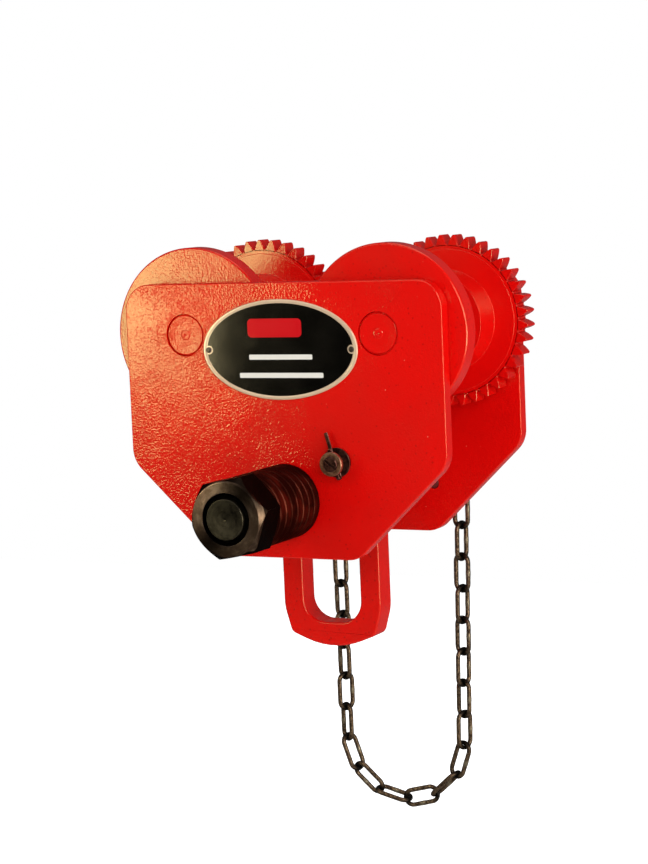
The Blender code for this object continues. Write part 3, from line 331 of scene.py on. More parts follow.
# %% [markdown]
# ## Finishes
#
# The trolley is painted in one bright red over cast and flame-cut steel, so the paint follows a rough
# skin. The hanger's nut, bolt and spacers are bare steel, oiled and browned; the hand chain is zinc gone
# dark with grease. What several finishes share is a node group: each gives only masks and heights, and
# the finish decides what they do to its colour, roughness and bump. All read Object coordinates, which
# are metres in the trolley's own frame, so a 4 mm grain is 4 mm on every piece.

# %% Node helpers
def add(tree, kind, inputs=None, **settings):
    """Adds a node. Each input is a socket to link from, or a value to set."""
    made = tree.nodes.new(kind)
    for key, value in settings.items():
        setattr(made, key, value)
    for key, value in (inputs or {}).items():
        if isinstance(value, bpy.types.NodeSocket):
            tree.links.new(value, made.inputs[key])
        else:
            made.inputs[key].default_value = value
    return made


def maths(tree, operation, first, second=0.0, clamp=False):
    made = add(tree, "ShaderNodeMath", {0: first, 1: second}, operation=operation, use_clamp=clamp)
    return made.outputs[0]


def times(tree, first, second, clamp=False):
    return maths(tree, "MULTIPLY", first, second, clamp)


def plus(tree, first, second):
    return maths(tree, "ADD", first, second)


def minus(tree, first, second):
    return maths(tree, "SUBTRACT", first, second)


def hypotenuse(tree, first, second):
    return maths(tree, "SQRT", plus(tree, times(tree, first, first), times(tree, second, second)))


def fitted(tree, value, low, high, to_low=0.0, to_high=1.0, curve="SMOOTHSTEP"):
    """Maps low..high of a value onto to_low..to_high, held at its ends."""
    inputs = {"Value": value, "From Min": low, "From Max": high, "To Min": to_low, "To Max": to_high}
    return add(tree, "ShaderNodeMapRange", inputs, interpolation_type=curve).outputs["Result"]


def blended(tree, share, first, second):
    """Mixes two colours, each a socket or an (r, g, b)."""
    made = tree.nodes.new("ShaderNodeMix")
    made.data_type = "RGBA"
    tree.links.new(share, made.inputs[0])
    for socket, colour in ((made.inputs[6], first), (made.inputs[7], second)):
        if isinstance(colour, bpy.types.NodeSocket):
            tree.links.new(colour, socket)
        else:
            socket.default_value = (*colour, 1)
    return made.outputs[2]


def noise(tree, where, scale, detail=2.0, roughness=0.5):
    inputs = {"Scale": scale, "Detail": detail, "Roughness": roughness}
    if where is not None:
        inputs["Vector"] = where
    return add(tree, "ShaderNodeTexNoise", inputs).outputs["Fac"]


def mask_group(name, inputs, outputs):
    """A shader node group with float inputs {label: value} and float outputs."""
    group = bpy.data.node_groups.new(name, "ShaderNodeTree")
    for label, value in inputs.items():
        group.interface.new_socket(label, in_out="INPUT", socket_type="NodeSocketFloat").default_value = value
    for label in outputs:
        group.interface.new_socket(label, in_out="OUTPUT", socket_type="NodeSocketFloat")
    return group, group.nodes.new("NodeGroupInput"), group.nodes.new("NodeGroupOutput")


print("helpers: add, maths, fitted, blended, noise, mask_group")

# %% Shared masks
def make_skin():
    """Fine grain, coarse lumps, pits, broad blotches and pale dust specks of paint over rough steel."""
    group, given, out = mask_group(
        "painted_skin", {"Grain": 1.0, "Specks": 1.0}, ("Height", "Pit", "Blotch", "Speck")
    )
    place = add(group, "ShaderNodeTexCoord").outputs["Object"]
    lumps = noise(group, place, 190.0, 2.0, 0.5)
    dimples = add(group, "ShaderNodeTexVoronoi", {"Vector": place, "Scale": 520.0}).outputs["Distance"]
    peel = plus(group, times(group, noise(group, place, 620.0, 1.0, 0.5), 0.6), times(group, dimples, 0.42))
    broad = noise(group, place, 11.0, 3.0, 0.6)
    rough = fitted(group, noise(group, place, 17.0, 2.0, 0.5), 0.35, 0.65, 0.55, 1.25)
    cells = add(group, "ShaderNodeTexVoronoi", {"Vector": place, "Scale": 250.0})
    pit = fitted(group, cells.outputs["Distance"], 0.36, 0.05)
    some = add(group, "ShaderNodeSeparateColor", {"Color": cells.outputs["Color"]}).outputs[1]
    pit = times(group, pit, fitted(group, some, 0.62, 0.98))
    parts = add(group, "ShaderNodeSeparateXYZ", {0: place})
    low_left = plus(group, parts.outputs["X"], parts.outputs["Z"])
    coarse = fitted(group, low_left, -0.02, -0.20, 0.5, 1.5)
    height = plus(group, times(group, lumps, coarse), times(group, peel, 1.7))
    height = times(group, height, times(group, rough, given.outputs["Grain"]))
    height = minus(group, height, times(group, pit, 0.22))
    height = times(group, height, fitted(group, parts.outputs["X"], 0.08, -0.04, 0.5, 1.0))
    group.links.new(height, out.inputs["Height"])
    group.links.new(pit, out.inputs["Pit"])
    group.links.new(fitted(group, broad, 0.32, 0.68), out.inputs["Blotch"])
    dust = add(group, "ShaderNodeTexVoronoi", {"Vector": place, "Scale": 210.0})
    near = fitted(group, dust.outputs["Distance"], 0.14, 0.07)
    chosen = add(group, "ShaderNodeSeparateColor", {"Color": dust.outputs["Color"]}).outputs[0]
    lucky = fitted(group, chosen, 0.93, 0.96)
    patchy = fitted(group, noise(group, place, 24.0, 1.0), 0.46, 0.62)
    allowed = times(group, patchy, given.outputs["Specks"])
    group.links.new(times(group, times(group, near, lucky), allowed), out.inputs["Speck"])
    return group


def make_edge_wear_and_shade():
    """Sharp edges, broken up along their length: on bare metal brightened by rubbing, on red paint painted
    shade.
    """
    group, given, out = mask_group("edge_wear_and_shade", {"Amount": 1.0}, ("Wear_And_Shade",))
    place = add(group, "ShaderNodeTexCoord").outputs["Object"]
    edge = add(group, "ShaderNodeAttribute", attribute_name="edge").outputs["Fac"]
    broken = fitted(group, noise(group, place, 120.0, 3.0, 0.65), 0.35, 0.65)
    wear_and_shade = times(group, times(group, edge, broken), given.outputs["Amount"], clamp=True)
    group.links.new(wear_and_shade, out.inputs["Wear_And_Shade"])
    return group


def make_turning_and_sheen():
    """Rings that a lathe tool leaves round an axis along Y, at x = +-Middle and z = Height.

    Streak is the same drawn out into smears. The sheen mask is a painted highlight: it is bright at
    Lobes places round the axis, less by Lean far from Turn.
    """
    inputs = {
        "Middle": 0.0, "Height": 0.0, "Fineness": 900.0, "Smear": 1.6, "Lobes": 2.0, "Turn": 0.0, "Lean": 0.0
    }
    group, given, out = mask_group("turning_and_sheen", inputs, ("Ring", "Streak", "Painted_Sheen"))
    place = add(group, "ShaderNodeTexCoord").outputs["Object"]
    parts = add(group, "ShaderNodeSeparateXYZ", {0: place})
    side = maths(group, "SIGN", parts.outputs["X"])
    across = minus(group, parts.outputs["X"], times(group, side, given.outputs["Middle"]))
    above = minus(group, parts.outputs["Z"], given.outputs["Height"])
    radius = hypotenuse(group, across, above)
    reach = plus(group, radius, parts.outputs["Y"])
    aside = maths(group, "DIVIDE", across, maths(group, "MAXIMUM", radius, 1e-5))
    upward = maths(group, "DIVIDE", above, maths(group, "MAXIMUM", radius, 1e-5))

    def swept_noise(fineness, smear, detail, roughness):
        """Noise along the reach, stretched round the axis without a seam."""
        turn_x, turn_y = times(group, aside, smear), times(group, upward, smear)
        where = add(
            group, "ShaderNodeCombineXYZ", {"X": turn_x, "Y": turn_y, "Z": times(group, reach, fineness)}
        )
        return noise(group, where.outputs[0], 1.0, detail, roughness)

    group.links.new(swept_noise(given.outputs["Fineness"], 0.5, 2.0, 0.7), out.inputs["Ring"])
    group.links.new(
        fitted(group, swept_noise(260.0, given.outputs["Smear"], 2.0, 0.6), 0.35, 0.68), out.inputs["Streak"]
    )
    angle = minus(group, maths(group, "ARCTAN2", above, across), given.outputs["Turn"])
    wave = maths(group, "COSINE", times(group, angle, given.outputs["Lobes"]))
    lobes = fitted(group, wave, -1.0, 1.0, 0.0, 1.0, "LINEAR")
    away = fitted(group, maths(group, "COSINE", angle), 1.0, -1.0, 0.0, 1.0, "LINEAR")
    lean = minus(group, 1.0, times(group, away, given.outputs["Lean"]))
    group.links.new(times(group, lobes, lean), out.inputs["Painted_Sheen"])
    return group


def make_grease():
    """Dark oil and dirt in irregular patches."""
    group, given, out = mask_group("grease", {"Size": 45.0}, ("Grease",))
    place = add(group, "ShaderNodeTexCoord").outputs["Object"]
    patch = add(
        group,
        "ShaderNodeTexNoise",
        {"Vector": place, "Scale": given.outputs["Size"], "Detail": 4.0, "Roughness": 0.62},
    )
    group.links.new(fitted(group, patch.outputs["Fac"], 0.4, 0.62), out.inputs["Grease"])
    return group


SKIN, EDGE_WEAR_AND_SHADE, TURNING_AND_SHEEN, GREASE = make_skin(), make_edge_wear_and_shade(), make_turning_and_sheen(), make_grease()
print("mask groups:", [group.name for group in (SKIN, EDGE_WEAR_AND_SHADE, TURNING_AND_SHEEN, GREASE)])

# %% Paint
def new_finish(name, constants):
    made = bpy.data.materials.new(name)
    made.use_nodes = True
    shader = made.node_tree.nodes["Principled BSDF"]
    for label, value in constants.items():
        shader.inputs[label].default_value = value
    return made, made.node_tree, shader


def feed(tree, shader, colour=None, roughness=None, height=None, strength=0.3, depth=0.0005):
    """Joins a finish's colour, roughness and bump height to its shader."""
    if colour is not None:
        tree.links.new(colour, shader.inputs["Base Color"])
    if roughness is not None:
        tree.links.new(roughness, shader.inputs["Roughness"])
    if height is not None:
        bump = add(tree, "ShaderNodeBump", {"Strength": strength, "Distance": depth, "Height": height})
        tree.links.new(bump.outputs["Normal"], shader.inputs["Normal"])


def grouped(tree, group, inputs):
    """Adds one of the mask groups with its inputs set."""
    made = tree.nodes.new("ShaderNodeGroup")
    made.node_tree = group
    for label, value in inputs.items():
        made.inputs[label].default_value = value
    return made


def red_paint(name, grain=1.0, specks=1.0, wear_and_shade_amount=0.35, rings=None):
    """Thick glossy red on rough steel; rings is (middle, height, depth) of a turned face under it."""
    constants = {"Metallic": 0.0, "Specular IOR Level": 0.80, "Specular Tint": (0.72, 1.0, 0.60, 1)}
    made, tree, shader = new_finish(name, constants)
    skin = grouped(tree, SKIN, {"Grain": grain, "Specks": specks})
    wear_and_shade = grouped(tree, EDGE_WEAR_AND_SHADE, {"Amount": wear_and_shade_amount}).outputs["Wear_And_Shade"]
    colour = blended(tree, skin.outputs["Blotch"], (0.72, 0.0020, 0.0018), (0.80, 0.0030, 0.0024))
    # Pits are painted a darker red: painted shade in the hollows.
    colour = blended(tree, skin.outputs["Pit"], colour, (0.47, 0.0020, 0.0018))
    # Sharp edges are painted a darker red: painted shade along the edges.
    colour = blended(tree, wear_and_shade, colour, (0.52, 0.0050, 0.0040))
    colour = blended(tree, skin.outputs["Speck"], colour, (0.80, 0.25, 0.18))
    roughness = fitted(tree, skin.outputs["Blotch"], 0.0, 1.0, 0.19, 0.14)
    height = skin.outputs["Height"]
    if rings:
        turning_and_sheen = grouped(tree, TURNING_AND_SHEEN, {"Middle": rings[0], "Height": rings[1], "Fineness": 700.0})
        height = plus(tree, height, times(tree, turning_and_sheen.outputs["Ring"], rings[2]))
    feed(tree, shader, colour, roughness, height, 0.75, 0.00037)
    return made


RED = red_paint("red_paint")
RED_SMOOTH = red_paint("smooth_red_paint", grain=0.35, specks=1.4)
RED_AXLE = red_paint("painted_axle_end", grain=0.7, rings=(WHEEL_X, WHEEL_Z, 0.3))
RED_TURNED = red_paint("red_paint_on_turned_wheels", grain=0.6, specks=0.5, rings=(WHEEL_X, WHEEL_Z, 0.12))
print("paints:", RED.name, RED_SMOOTH.name, RED_AXLE.name, RED_TURNED.name)

# %% Bare metals
def bare_metal(
    name, dark, light, roughness, turning_and_sheen=None, metallic=0.9, grease=45.0, wear_and_shade_amount=0.6, face=None,
    edge=(1, 1, 1, 1),
):
    """Turned or drawn metal: rings and streaks from the tool, grease in patches, edges brightened by rubbing.

    `face` is (y, share, sheen): for 60 mm past y the metal is painted darker by that share, a painted
    shade, but a corner at the right is left bright, a painted highlight. Away from the sheen mask's
    painted highlight the metal is painted darker by the sheen share.
    """
    made, tree, shader = new_finish(name, {"Metallic": metallic, "Specular Tint": edge})
    tool_marks_and_sheen = grouped(tree, TURNING_AND_SHEEN, turning_and_sheen or {})
    oily = grouped(tree, GREASE, {"Size": grease}).outputs["Grease"]
    wear_and_shade = grouped(tree, EDGE_WEAR_AND_SHADE, {"Amount": wear_and_shade_amount}).outputs["Wear_And_Shade"]
    colour = blended(tree, tool_marks_and_sheen.outputs["Streak"], dark, light)
    colour = blended(tree, oily, colour, tuple(0.55 * value for value in dark))
    if face:
        y, share, sheen = face
        parts = add(tree, "ShaderNodeSeparateXYZ", {0: add(tree, "ShaderNodeTexCoord").outputs["Object"]})
        # Painted shade: near black past y. A corner at the right, past x = 24 mm, starts 3.7 mm deeper and is
        # left bright: a painted highlight.
        painted_highlight_shift = fitted(tree, parts.outputs["X"], 0.018, 0.024, 0.0, 0.0037)
        past = fitted(tree, minus(tree, parts.outputs["Y"], painted_highlight_shift), y, y + 0.0012)
        past = times(tree, past, fitted(tree, parts.outputs["Y"], y + 0.08, y + 0.06))
        # Painted darker away from the sheen mask's painted highlight.
        painted_shade_share = times(tree, minus(tree, 1.0, tool_marks_and_sheen.outputs["Painted_Sheen"]), sheen)
        painted_shade_share = maths(tree, "MAXIMUM", painted_shade_share, times(tree, past, share))
        colour = blended(tree, painted_shade_share, colour, (0.003, 0.0015, 0.0012))
    colour = blended(tree, wear_and_shade, colour, tuple(min(1.0, 2.4 * value) for value in light))
    low, high = roughness
    rough = fitted(tree, oily, 0.0, 1.0, low, high)
    feed(tree, shader, colour, rough, tool_marks_and_sheen.outputs["Ring"], 0.25, 0.0003)
    return made


ON_BOLT = {"Height": BOLT_Z}
ON_ROD = {"Middle": 0.0515, "Height": -0.0656, "Fineness": 1500.0}
ON_SHAFT, ON_WHEEL = {"Height": DRIVE_Z}, {"Middle": WHEEL_X, "Height": WHEEL_Z}
NUT_FACE = -0.2033
DARK_STEEL = bare_metal(
    "dark_oiled_steel",
    (0.075, 0.015, 0.0095),
    (0.150, 0.036, 0.021),
    (0.50, 0.60),
    ON_BOLT,
    metallic=1.0,
    wear_and_shade_amount=0.0,
    edge=(0.42, 0.17, 0.12, 1),
)
# The nut's Lobes, Turn and Lean place the sheen mask's painted highlight, and its face setting paints it near
# black behind its front: painted shade, with a painted highlight at its right corner.
NUT_STEEL = bare_metal(
    "browned_nut_steel",
    (0.560, 0.350, 0.225),
    (1.000, 0.700, 0.470),
    (0.34, 0.44),
    {**ON_BOLT, "Fineness": 1400.0, "Smear": 2.4, "Lobes": 2.0, "Turn": radians(142), "Lean": 0.72},
    wear_and_shade_amount=0.05,
    face=(NUT_FACE + 0.0003, 0.985, 0.975),
    edge=(0.20, 0.09, 0.07, 1),
)
# The bolt's end gets a painted highlight to the lower left from Lobes and Turn, and its face setting paints
# it darker behind the nut's face: painted shade.
BOLT_STEEL = bare_metal(
    "olive_bolt_steel",
    (0.110, 0.092, 0.056),
    (0.210, 0.180, 0.116),
    (0.32, 0.42),
    {**ON_BOLT, "Fineness": 1100.0, "Smear": 0.7, "Lobes": 1.0, "Turn": radians(-128)},
    wear_and_shade_amount=0.20,
    face=(NUT_FACE - 0.0006, 0.94, 0.96),
)
DARK_ROD = bare_metal(
    "dark_oiled_rod", (0.060, 0.016, 0.012), (0.200, 0.090, 0.065), (0.28, 0.40), ON_ROD, wear_and_shade_amount=0.2
)
COLLAR_STEEL = bare_metal(
    "browned_collar_steel", (0.220, 0.080, 0.045), (0.580, 0.300, 0.185), (0.30, 0.40), ON_ROD, wear_and_shade_amount=0.2
)
DARK_SHAFT = bare_metal("dark_oiled_shaft", (0.05, 0.045, 0.04), (0.15, 0.13, 0.12), (0.28, 0.42), ON_SHAFT)
bright = [(0.42, 0.43, 0.44), (0.62, 0.62, 0.60), (0.26, 0.40)]
ZINC = bare_metal("bright_zinc", *bright, ON_WHEEL, metallic=1.0, wear_and_shade_amount=0.2)
RIVET_STEEL = bare_metal(
    "dull_rivet_steel", (0.13, 0.10, 0.08), (0.26, 0.21, 0.17), (0.34, 0.48), ON_WHEEL, wear_and_shade_amount=0.1
)
ZINC_DRIVE = bare_metal("bright_zinc_on_drive", *bright, ON_SHAFT, metallic=1.0, wear_and_shade_amount=0.2)
BRONZE = bare_metal(
    "bush_bronze", (0.34, 0.19, 0.08), (0.52, 0.33, 0.15), (0.28, 0.45), ON_SHAFT, metallic=1.0, wear_and_shade_amount=0.3
)
metals = (
    DARK_STEEL,
    NUT_STEEL,
    BOLT_STEEL,
    DARK_ROD,
    COLLAR_STEEL,
    DARK_SHAFT,
    ZINC,
    RIVET_STEEL,
    ZINC_DRIVE,
    BRONZE,
)
print("bare metals:", [made.name for made in metals])

# %% Hand chain steel
def chain_steel():
    """Darkened zinc: the weld in each link is a paler patch, and the links' ends, where neighbours meet, are
    near black.
    """
    made, tree, shader = new_finish("chain_steel", {"Metallic": 0.8})
    place = add(tree, "ShaderNodeTexCoord").outputs["Object"]
    weld = add(tree, "ShaderNodeAttribute", attribute_name="weld").outputs["Fac"]
    end = add(tree, "ShaderNodeAttribute", attribute_name="end").outputs["Fac"]
    mottle = fitted(tree, noise(tree, place, 420.0, 3.0, 0.6), 0.35, 0.65)
    colour = blended(tree, mottle, (0.066, 0.042, 0.026), (0.270, 0.185, 0.112))
    colour = blended(tree, weld, colour, (0.34, 0.29, 0.20))
    colour = blended(tree, end, colour, (0.012, 0.010, 0.008))
    roughness = fitted(tree, mottle, 0.0, 1.0, 0.46, 0.34)
    feed(tree, shader, colour, roughness, mottle, 0.25, 0.0003)
    return made


CHAIN_STEEL = chain_steel()
print("chain:", CHAIN_STEEL.name)

# %% [markdown]
# ## Side plates
#
# Each side plate is flame cut from 13 mm plate: straight top, slanted shoulders down to a narrow foot,
# and every corner rounded. Grinding leaves its edges slightly round, which is what catches the light, so
# the edges get a real bevel of several steps rather than one flat chamfer.

# %% Side plates
def side_plate_outline():
    half, foot = 0.155, 0.067
    top, shoulder, bottom = 0.0915, -0.0672, -0.1515
    corners = [
        (half, top, 0.024),
        (-half, top, 0.024),
        (-half, shoulder, 0.026),
        (-foot, bottom, 0.022),
        (foot, bottom, 0.022),
        (half, shoulder, 0.026),
    ]
    return rounded(corners)


AXLE_HEAD, BOLT_RADIUS, TIE_ROD = 0.0186, 0.021, (0.0515, -0.0656, 0.0066)
BOSS_RADIUS, GUIDE_SCREW_Z, GUIDE_SCREW_RADIUS = 0.026, -0.088 - 0.032 * 0.58, 0.005
NAMEPLATE_REACH = WHEEL_X - AXLE_HEAD - 0.00045
RIVET_X, NAMEPLATE_RISE = NAMEPLATE_REACH - 0.0056, 0.044


def chain_joints():
    """The points in the chain's plane where neighbouring links meet, once round the loop."""
    step = pi / POCKETS
    ring = CHAIN_PITCH / 2 / sin(step / 2)
    joints = []
    for number in range(POCKETS + 2):
        angle = pi / 2 + step * ((POCKETS + 1) / 2 - number)
        joints.append(Vector((ring * cos(angle), DRIVE_Z + ring * sin(angle))))
    runs = []
    for top, lean in ((joints[-1], RIGHT_LEAN), (joints[0], LEFT_LEAN)):
        down = Vector((-sin(lean), -cos(lean))) * CHAIN_PITCH
        runs.append([top + down * number for number in range(1, RUN_LINKS + 1)])
    return joints + runs[0] + hanging_arc(runs[0][-1], runs[1][-1], BOTTOM_LINKS) + runs[1][::-1]


def hanging_arc(start, end, count):
    """Inner points of an arc of equal links below start and end; its radius is found by halving."""
    span = (end - start).length
    small, large = CHAIN_PITCH / 2 / sin(pi / count) + 1e-6, 1.0
    for _ in range(60):
        radius = (small + large) / 2
        half_turn = asin(min(1.0, CHAIN_PITCH / 2 / radius)) * count
        if 2 * radius * sin(half_turn) > span:
            large = radius
        else:
            small = radius
    across = (end - start).normalized()
    down = Vector((across.y, -across.x))
    if down.y > 0:
        down = -down
    centre = (start + end) / 2 - down * (radius * cos(half_turn))
    angles = [-half_turn + 2 * half_turn * number / count for number in range(1, count)]
    return [centre + across * (radius * sin(angle)) + down * (radius * cos(angle)) for angle in angles]


RUN_LINKS, BOTTOM_LINKS = 12, 6
RIGHT_LEAN, LEFT_LEAN = radians(1.33), radians(-0.17)
GUIDE_TOP = -0.088


def guide_x(side):
    """Where the run of chain on that side passes the top of its guide."""
    joints = chain_joints()
    top, lean = (joints[POCKETS + 1], RIGHT_LEAN) if side > 0 else (joints[0], LEFT_LEAN)
    return top.x - tan(lean) * (top.y - GUIDE_TOP)


shared_holes = [(x * WHEEL_X, WHEEL_Z, AXLE_HEAD + SEAT) for x in (-1, 1)]
shared_holes += [(0, BOLT_Z, BOLT_RADIUS + SEAT), (TIE_ROD[0], TIE_ROD[1], TIE_ROD[2] + SEAT)]
rivet_holes = [(x * RIVET_X, NAMEPLATE_Z, 0.0014 + SEAT) for x in (-1, 1)]
drive_holes = [(0, DRIVE_Z, BOSS_RADIUS + SEAT)]
drive_holes += [(guide_x(x), GUIDE_SCREW_Z, GUIDE_SCREW_RADIUS + SEAT) for x in (-1, 1)]
outline = side_plate_outline()
for word, low, high, holes in (
    ("front", -PLATE_OUTER, -PLATE_INNER, shared_holes + rivet_holes),
    ("rear", PLATE_INNER, PLATE_OUTER, shared_holes + drive_holes),
):
    name = f"{word}_side_plate"
    cut_plate(
        f"dressed_{name}", outline, low, high, holes, RED, "frame", [name], (0.0012, 0.0003)
    )

# %% [markdown]
# ## Axles, bearings, snap rings and dust caps
#
# Each wheel turns on a pin that is pressed through its plate. The pin's outer end is flush with the
# plate and painted over with it, so only its outline, a ring groove and the lathe's centre mark show.
# All of it is turned work, so each piece is one profile of (radius, y) points. A profile is written as
# depth inboard from the plate's inner face, and `inboard` turns that into y for either side.

# %% Axles and what holds the wheels
def inboard(side, depth):
    return side * (PLATE_INNER - depth)


def on_side(side, points):
    return [(radius, inboard(side, depth)) for radius, depth in points]


COLLAR_END = SEAT + 0.0042
BEARING_START, BEARING_LENGTH = COLLAR_END + SEAT, 0.028
SNAP_START = BEARING_START + BEARING_LENGTH + SEAT
WHEEL_NEAR, WHEEL_FLANGE_END = 0.0015, 0.0205
TREAD_LENGTH = 0.028
WHEEL_FAR = WHEEL_FLANGE_END + TREAD_LENGTH
JOURNAL, BEARING_RADIUS, COLLAR_RADIUS = 0.015, 0.031, 0.0225

axle_points = [
    (0, -0.0112),
    (0.0012, -0.0124),
    (0.0040, -0.0124),
    (0.0046, -0.0119),
    (0.0110, -0.0120),
    (AXLE_HEAD - 0.0014, -0.0125),
    (AXLE_HEAD - 0.0012, -0.0112),
    (AXLE_HEAD, -0.0108),
    (AXLE_HEAD, SEAT),
    (COLLAR_RADIUS, SEAT),
    (COLLAR_RADIUS, COLLAR_END),
    (JOURNAL, COLLAR_END),
    (JOURNAL, SNAP_START),
    (JOURNAL - 0.0012, SNAP_START),
    (JOURNAL - 0.0012, SNAP_START + 0.0021),
    (JOURNAL, SNAP_START + 0.0021),
    (JOURNAL, SNAP_START + 0.0046),
    (0, SNAP_START + 0.0046),
]
bearing_points = [
    (0.0156, BEARING_START),
    (0.0205, BEARING_START),
    (0.0205, BEARING_START + 0.0012),
    (0.0262, BEARING_START + 0.0012),
    (0.0262, BEARING_START),
    (BEARING_RADIUS, BEARING_START),
    (BEARING_RADIUS, BEARING_START + BEARING_LENGTH),
    (0.0262, BEARING_START + BEARING_LENGTH),
    (0.0262, BEARING_START + BEARING_LENGTH - 0.0012),
    (0.0205, BEARING_START + BEARING_LENGTH - 0.0012),
    (0.0205, BEARING_START + BEARING_LENGTH),
    (0.0156, BEARING_START + BEARING_LENGTH),
]
snap_points = [
    (JOURNAL - 0.0009, SNAP_START + SEAT),
    (0.0185, SNAP_START + SEAT),
    (0.0185, SNAP_START + 0.0018),
    (JOURNAL - 0.0009, SNAP_START + 0.0018),
]
cap_points = [
    (0, WHEEL_FAR - 0.0018),
    (BEARING_RADIUS - 0.0015, WHEEL_FAR - 0.0018),
    (BEARING_RADIUS - 0.0015, WHEEL_FAR - 0.005),
    (BEARING_RADIUS, WHEEL_FAR - 0.005),
    (BEARING_RADIUS, WHEEL_FAR - SEAT),
    (0.022, WHEEL_FAR - SEAT),
    (0.019, WHEEL_FAR - 0.0009),
    (0, WHEEL_FAR - 0.0009),
]
corner_places = {
    "front_left": (-1, -WHEEL_X),
    "front_right": (-1, WHEEL_X),
    "rear_left": (1, -WHEEL_X),
    "rear_right": (1, WHEEL_X),
}
for corner, (side, x) in corner_places.items():
    at, wheel = (x, WHEEL_Z), f"wheel_{corner}"
    fittings = [
        ("axle", axle_points, RED_AXLE, "frame", "painted_axle"),
        ("bearing", bearing_points, ZINC, wheel, "bright_steel"),
        ("snap_ring", snap_points, ZINC, "frame", "dark_steel"),
        ("dust_cap", cap_points, ZINC, wheel, "bright_steel"),
    ]
    for kind, points, finish, body, slot in fittings:
        name = f"{kind}_{corner}"
        turned(f"dressed_{name}", on_side(side, points), at, finish, body, [name], 0.0004)

# %% [markdown]
# ## Wheels
#
# Each wheel has a tapered tread to roll on and a flange beside it that keeps it on its track. On the
# geared side that flange is the gear. Its teeth are one
# tooth, repeated round the wheel by Geometry Nodes: the tooth is duplicated, each copy is turned one
# step further about the axle, and the copies are made real. A drop of clearance keeps the two solids
# inside each other's running space, as in the CAD.

# %% Involute teeth
def involute(angle):
    return tan(angle) - angle


def tooth_outline(teeth, centre_angle, inside):
    """One spur tooth as (x, z) points about the gear's own centre, with its root sunk to `inside`."""
    pitch = GEAR_MODULE * teeth / 2
    base, tip = pitch * cos(PRESSURE_ANGLE), pitch + GEAR_MODULE
    root = pitch - 1.25 * GEAR_MODULE
    half_at_pitch = (pi * GEAR_MODULE / 2 - 0.0003) / (2 * pitch)

    def half_angle(radius):
        at_radius = acos(base / max(radius, base))
        return half_at_pitch + involute(PRESSURE_ANGLE) - involute(at_radius)

    start = max(root, base)
    radii = [start + (tip - start) * step / 6 for step in range(7)]
    flank = [(radius, half_angle(radius)) for radius in radii]
    foot = half_angle(start)
    flank = [
        (inside, foot + 0.0012 / start), (root, foot + 0.0009 / start), (root + 0.0006, foot + 0.0002 / start)
    ] + flank
    flank[-1] = (tip - 0.0003, flank[-1][1])
    flank.append((tip, flank[-1][1] * 0.82))
    right_side = [(r * cos(centre_angle - a), r * sin(centre_angle - a)) for r, a in flank]
    left_side = [(r * cos(centre_angle + a), r * sin(centre_angle + a)) for r, a in reversed(flank)]
    return right_side + left_side


def gear_phase(gear_x):
    """The angle of a wheel's tooth that puts it in mesh with a pinion tooth at angle 0."""
    line = atan2(DRIVE_Z - WHEEL_Z, -gear_x)
    return line - (PINION_RADIUS * -(line + pi) + pi * GEAR_MODULE / 2) / GEAR_RADIUS


def geometry_tree(name, **kinds):
    """A Geometry Nodes tree with a mesh in and out, and an input of each label's kind."""
    tree = bpy.data.node_groups.new(name, "GeometryNodeTree")
    tree.interface.new_socket("Geometry", in_out="INPUT", socket_type="NodeSocketGeometry")
    for label, kind in kinds.items():
        tree.interface.new_socket(label, in_out="INPUT", socket_type=f"NodeSocket{kind}")
    tree.interface.new_socket("Geometry", in_out="OUTPUT", socket_type="NodeSocketGeometry")
    return tree, tree.nodes.new("NodeGroupInput"), tree.nodes.new("NodeGroupOutput")


def counted_copies(tree, given):
    one = add(tree, "GeometryNodeGeometryToInstance", {0: given.outputs["Geometry"]})
    inputs = {"Geometry": one.outputs[0], "Amount": given.outputs["Count"]}
    return add(tree, "GeometryNodeDuplicateElements", inputs, domain="INSTANCE")


def made_real(tree, copies, given, out):
    """Ends a tree: its copies become faces of their own, in the Finish."""
    real = add(tree, "GeometryNodeRealizeInstances", {"Geometry": copies.outputs[0]})
    inputs = {"Geometry": real.outputs[0], "Material": given.outputs["Finish"]}
    finished = add(tree, "GeometryNodeSetMaterial", inputs)
    tree.links.new(finished.outputs[0], out.inputs["Geometry"])
    return tree


def repeat_round():
    """A node tree: the given mesh becomes Count copies, each turned one more step about Centre along Y."""
    tree, given, out = geometry_tree("repeat_round_an_axle", Count="Int", Centre="Vector", Finish="Material")
    copies = counted_copies(tree, given)
    step = maths(tree, "DIVIDE", 2 * pi, given.outputs["Count"])
    angle = times(tree, copies.outputs["Duplicate Index"], step)
    spin = add(tree, "ShaderNodeCombineXYZ", {"Y": angle}).outputs[0]
    inputs = {
        "Instances": copies.outputs["Geometry"],
        "Rotation": spin,
        "Pivot Point": given.outputs["Centre"],
        "Local Space": False,
    }
    placed = add(tree, "GeometryNodeRotateInstances", inputs)
    return made_real(tree, placed, given, out)


def through_nodes(name, source, tree, values):
    """Runs a mesh through a node tree, with its inputs set by name, and returns the plain result."""
    thing = as_object(f"seed_{name}", source) if isinstance(
        source, bmesh.types.BMesh
    ) else new_object(f"seed_{name}", source)
    modifier = thing.modifiers.new("nodes", "NODES")
    modifier.node_group = tree
    for item in tree.interface.items_tree:
        if item.in_out == "INPUT" and item.name in values:
            modifier[item.identifier] = values[item.name]
    mesh = plain_mesh(thing)
    bpy.data.objects.remove(thing)
    return mesh


def with_mesh(bm, mesh):
    bm.from_mesh(mesh)
    return bm


REPEAT_ROUND = repeat_round()


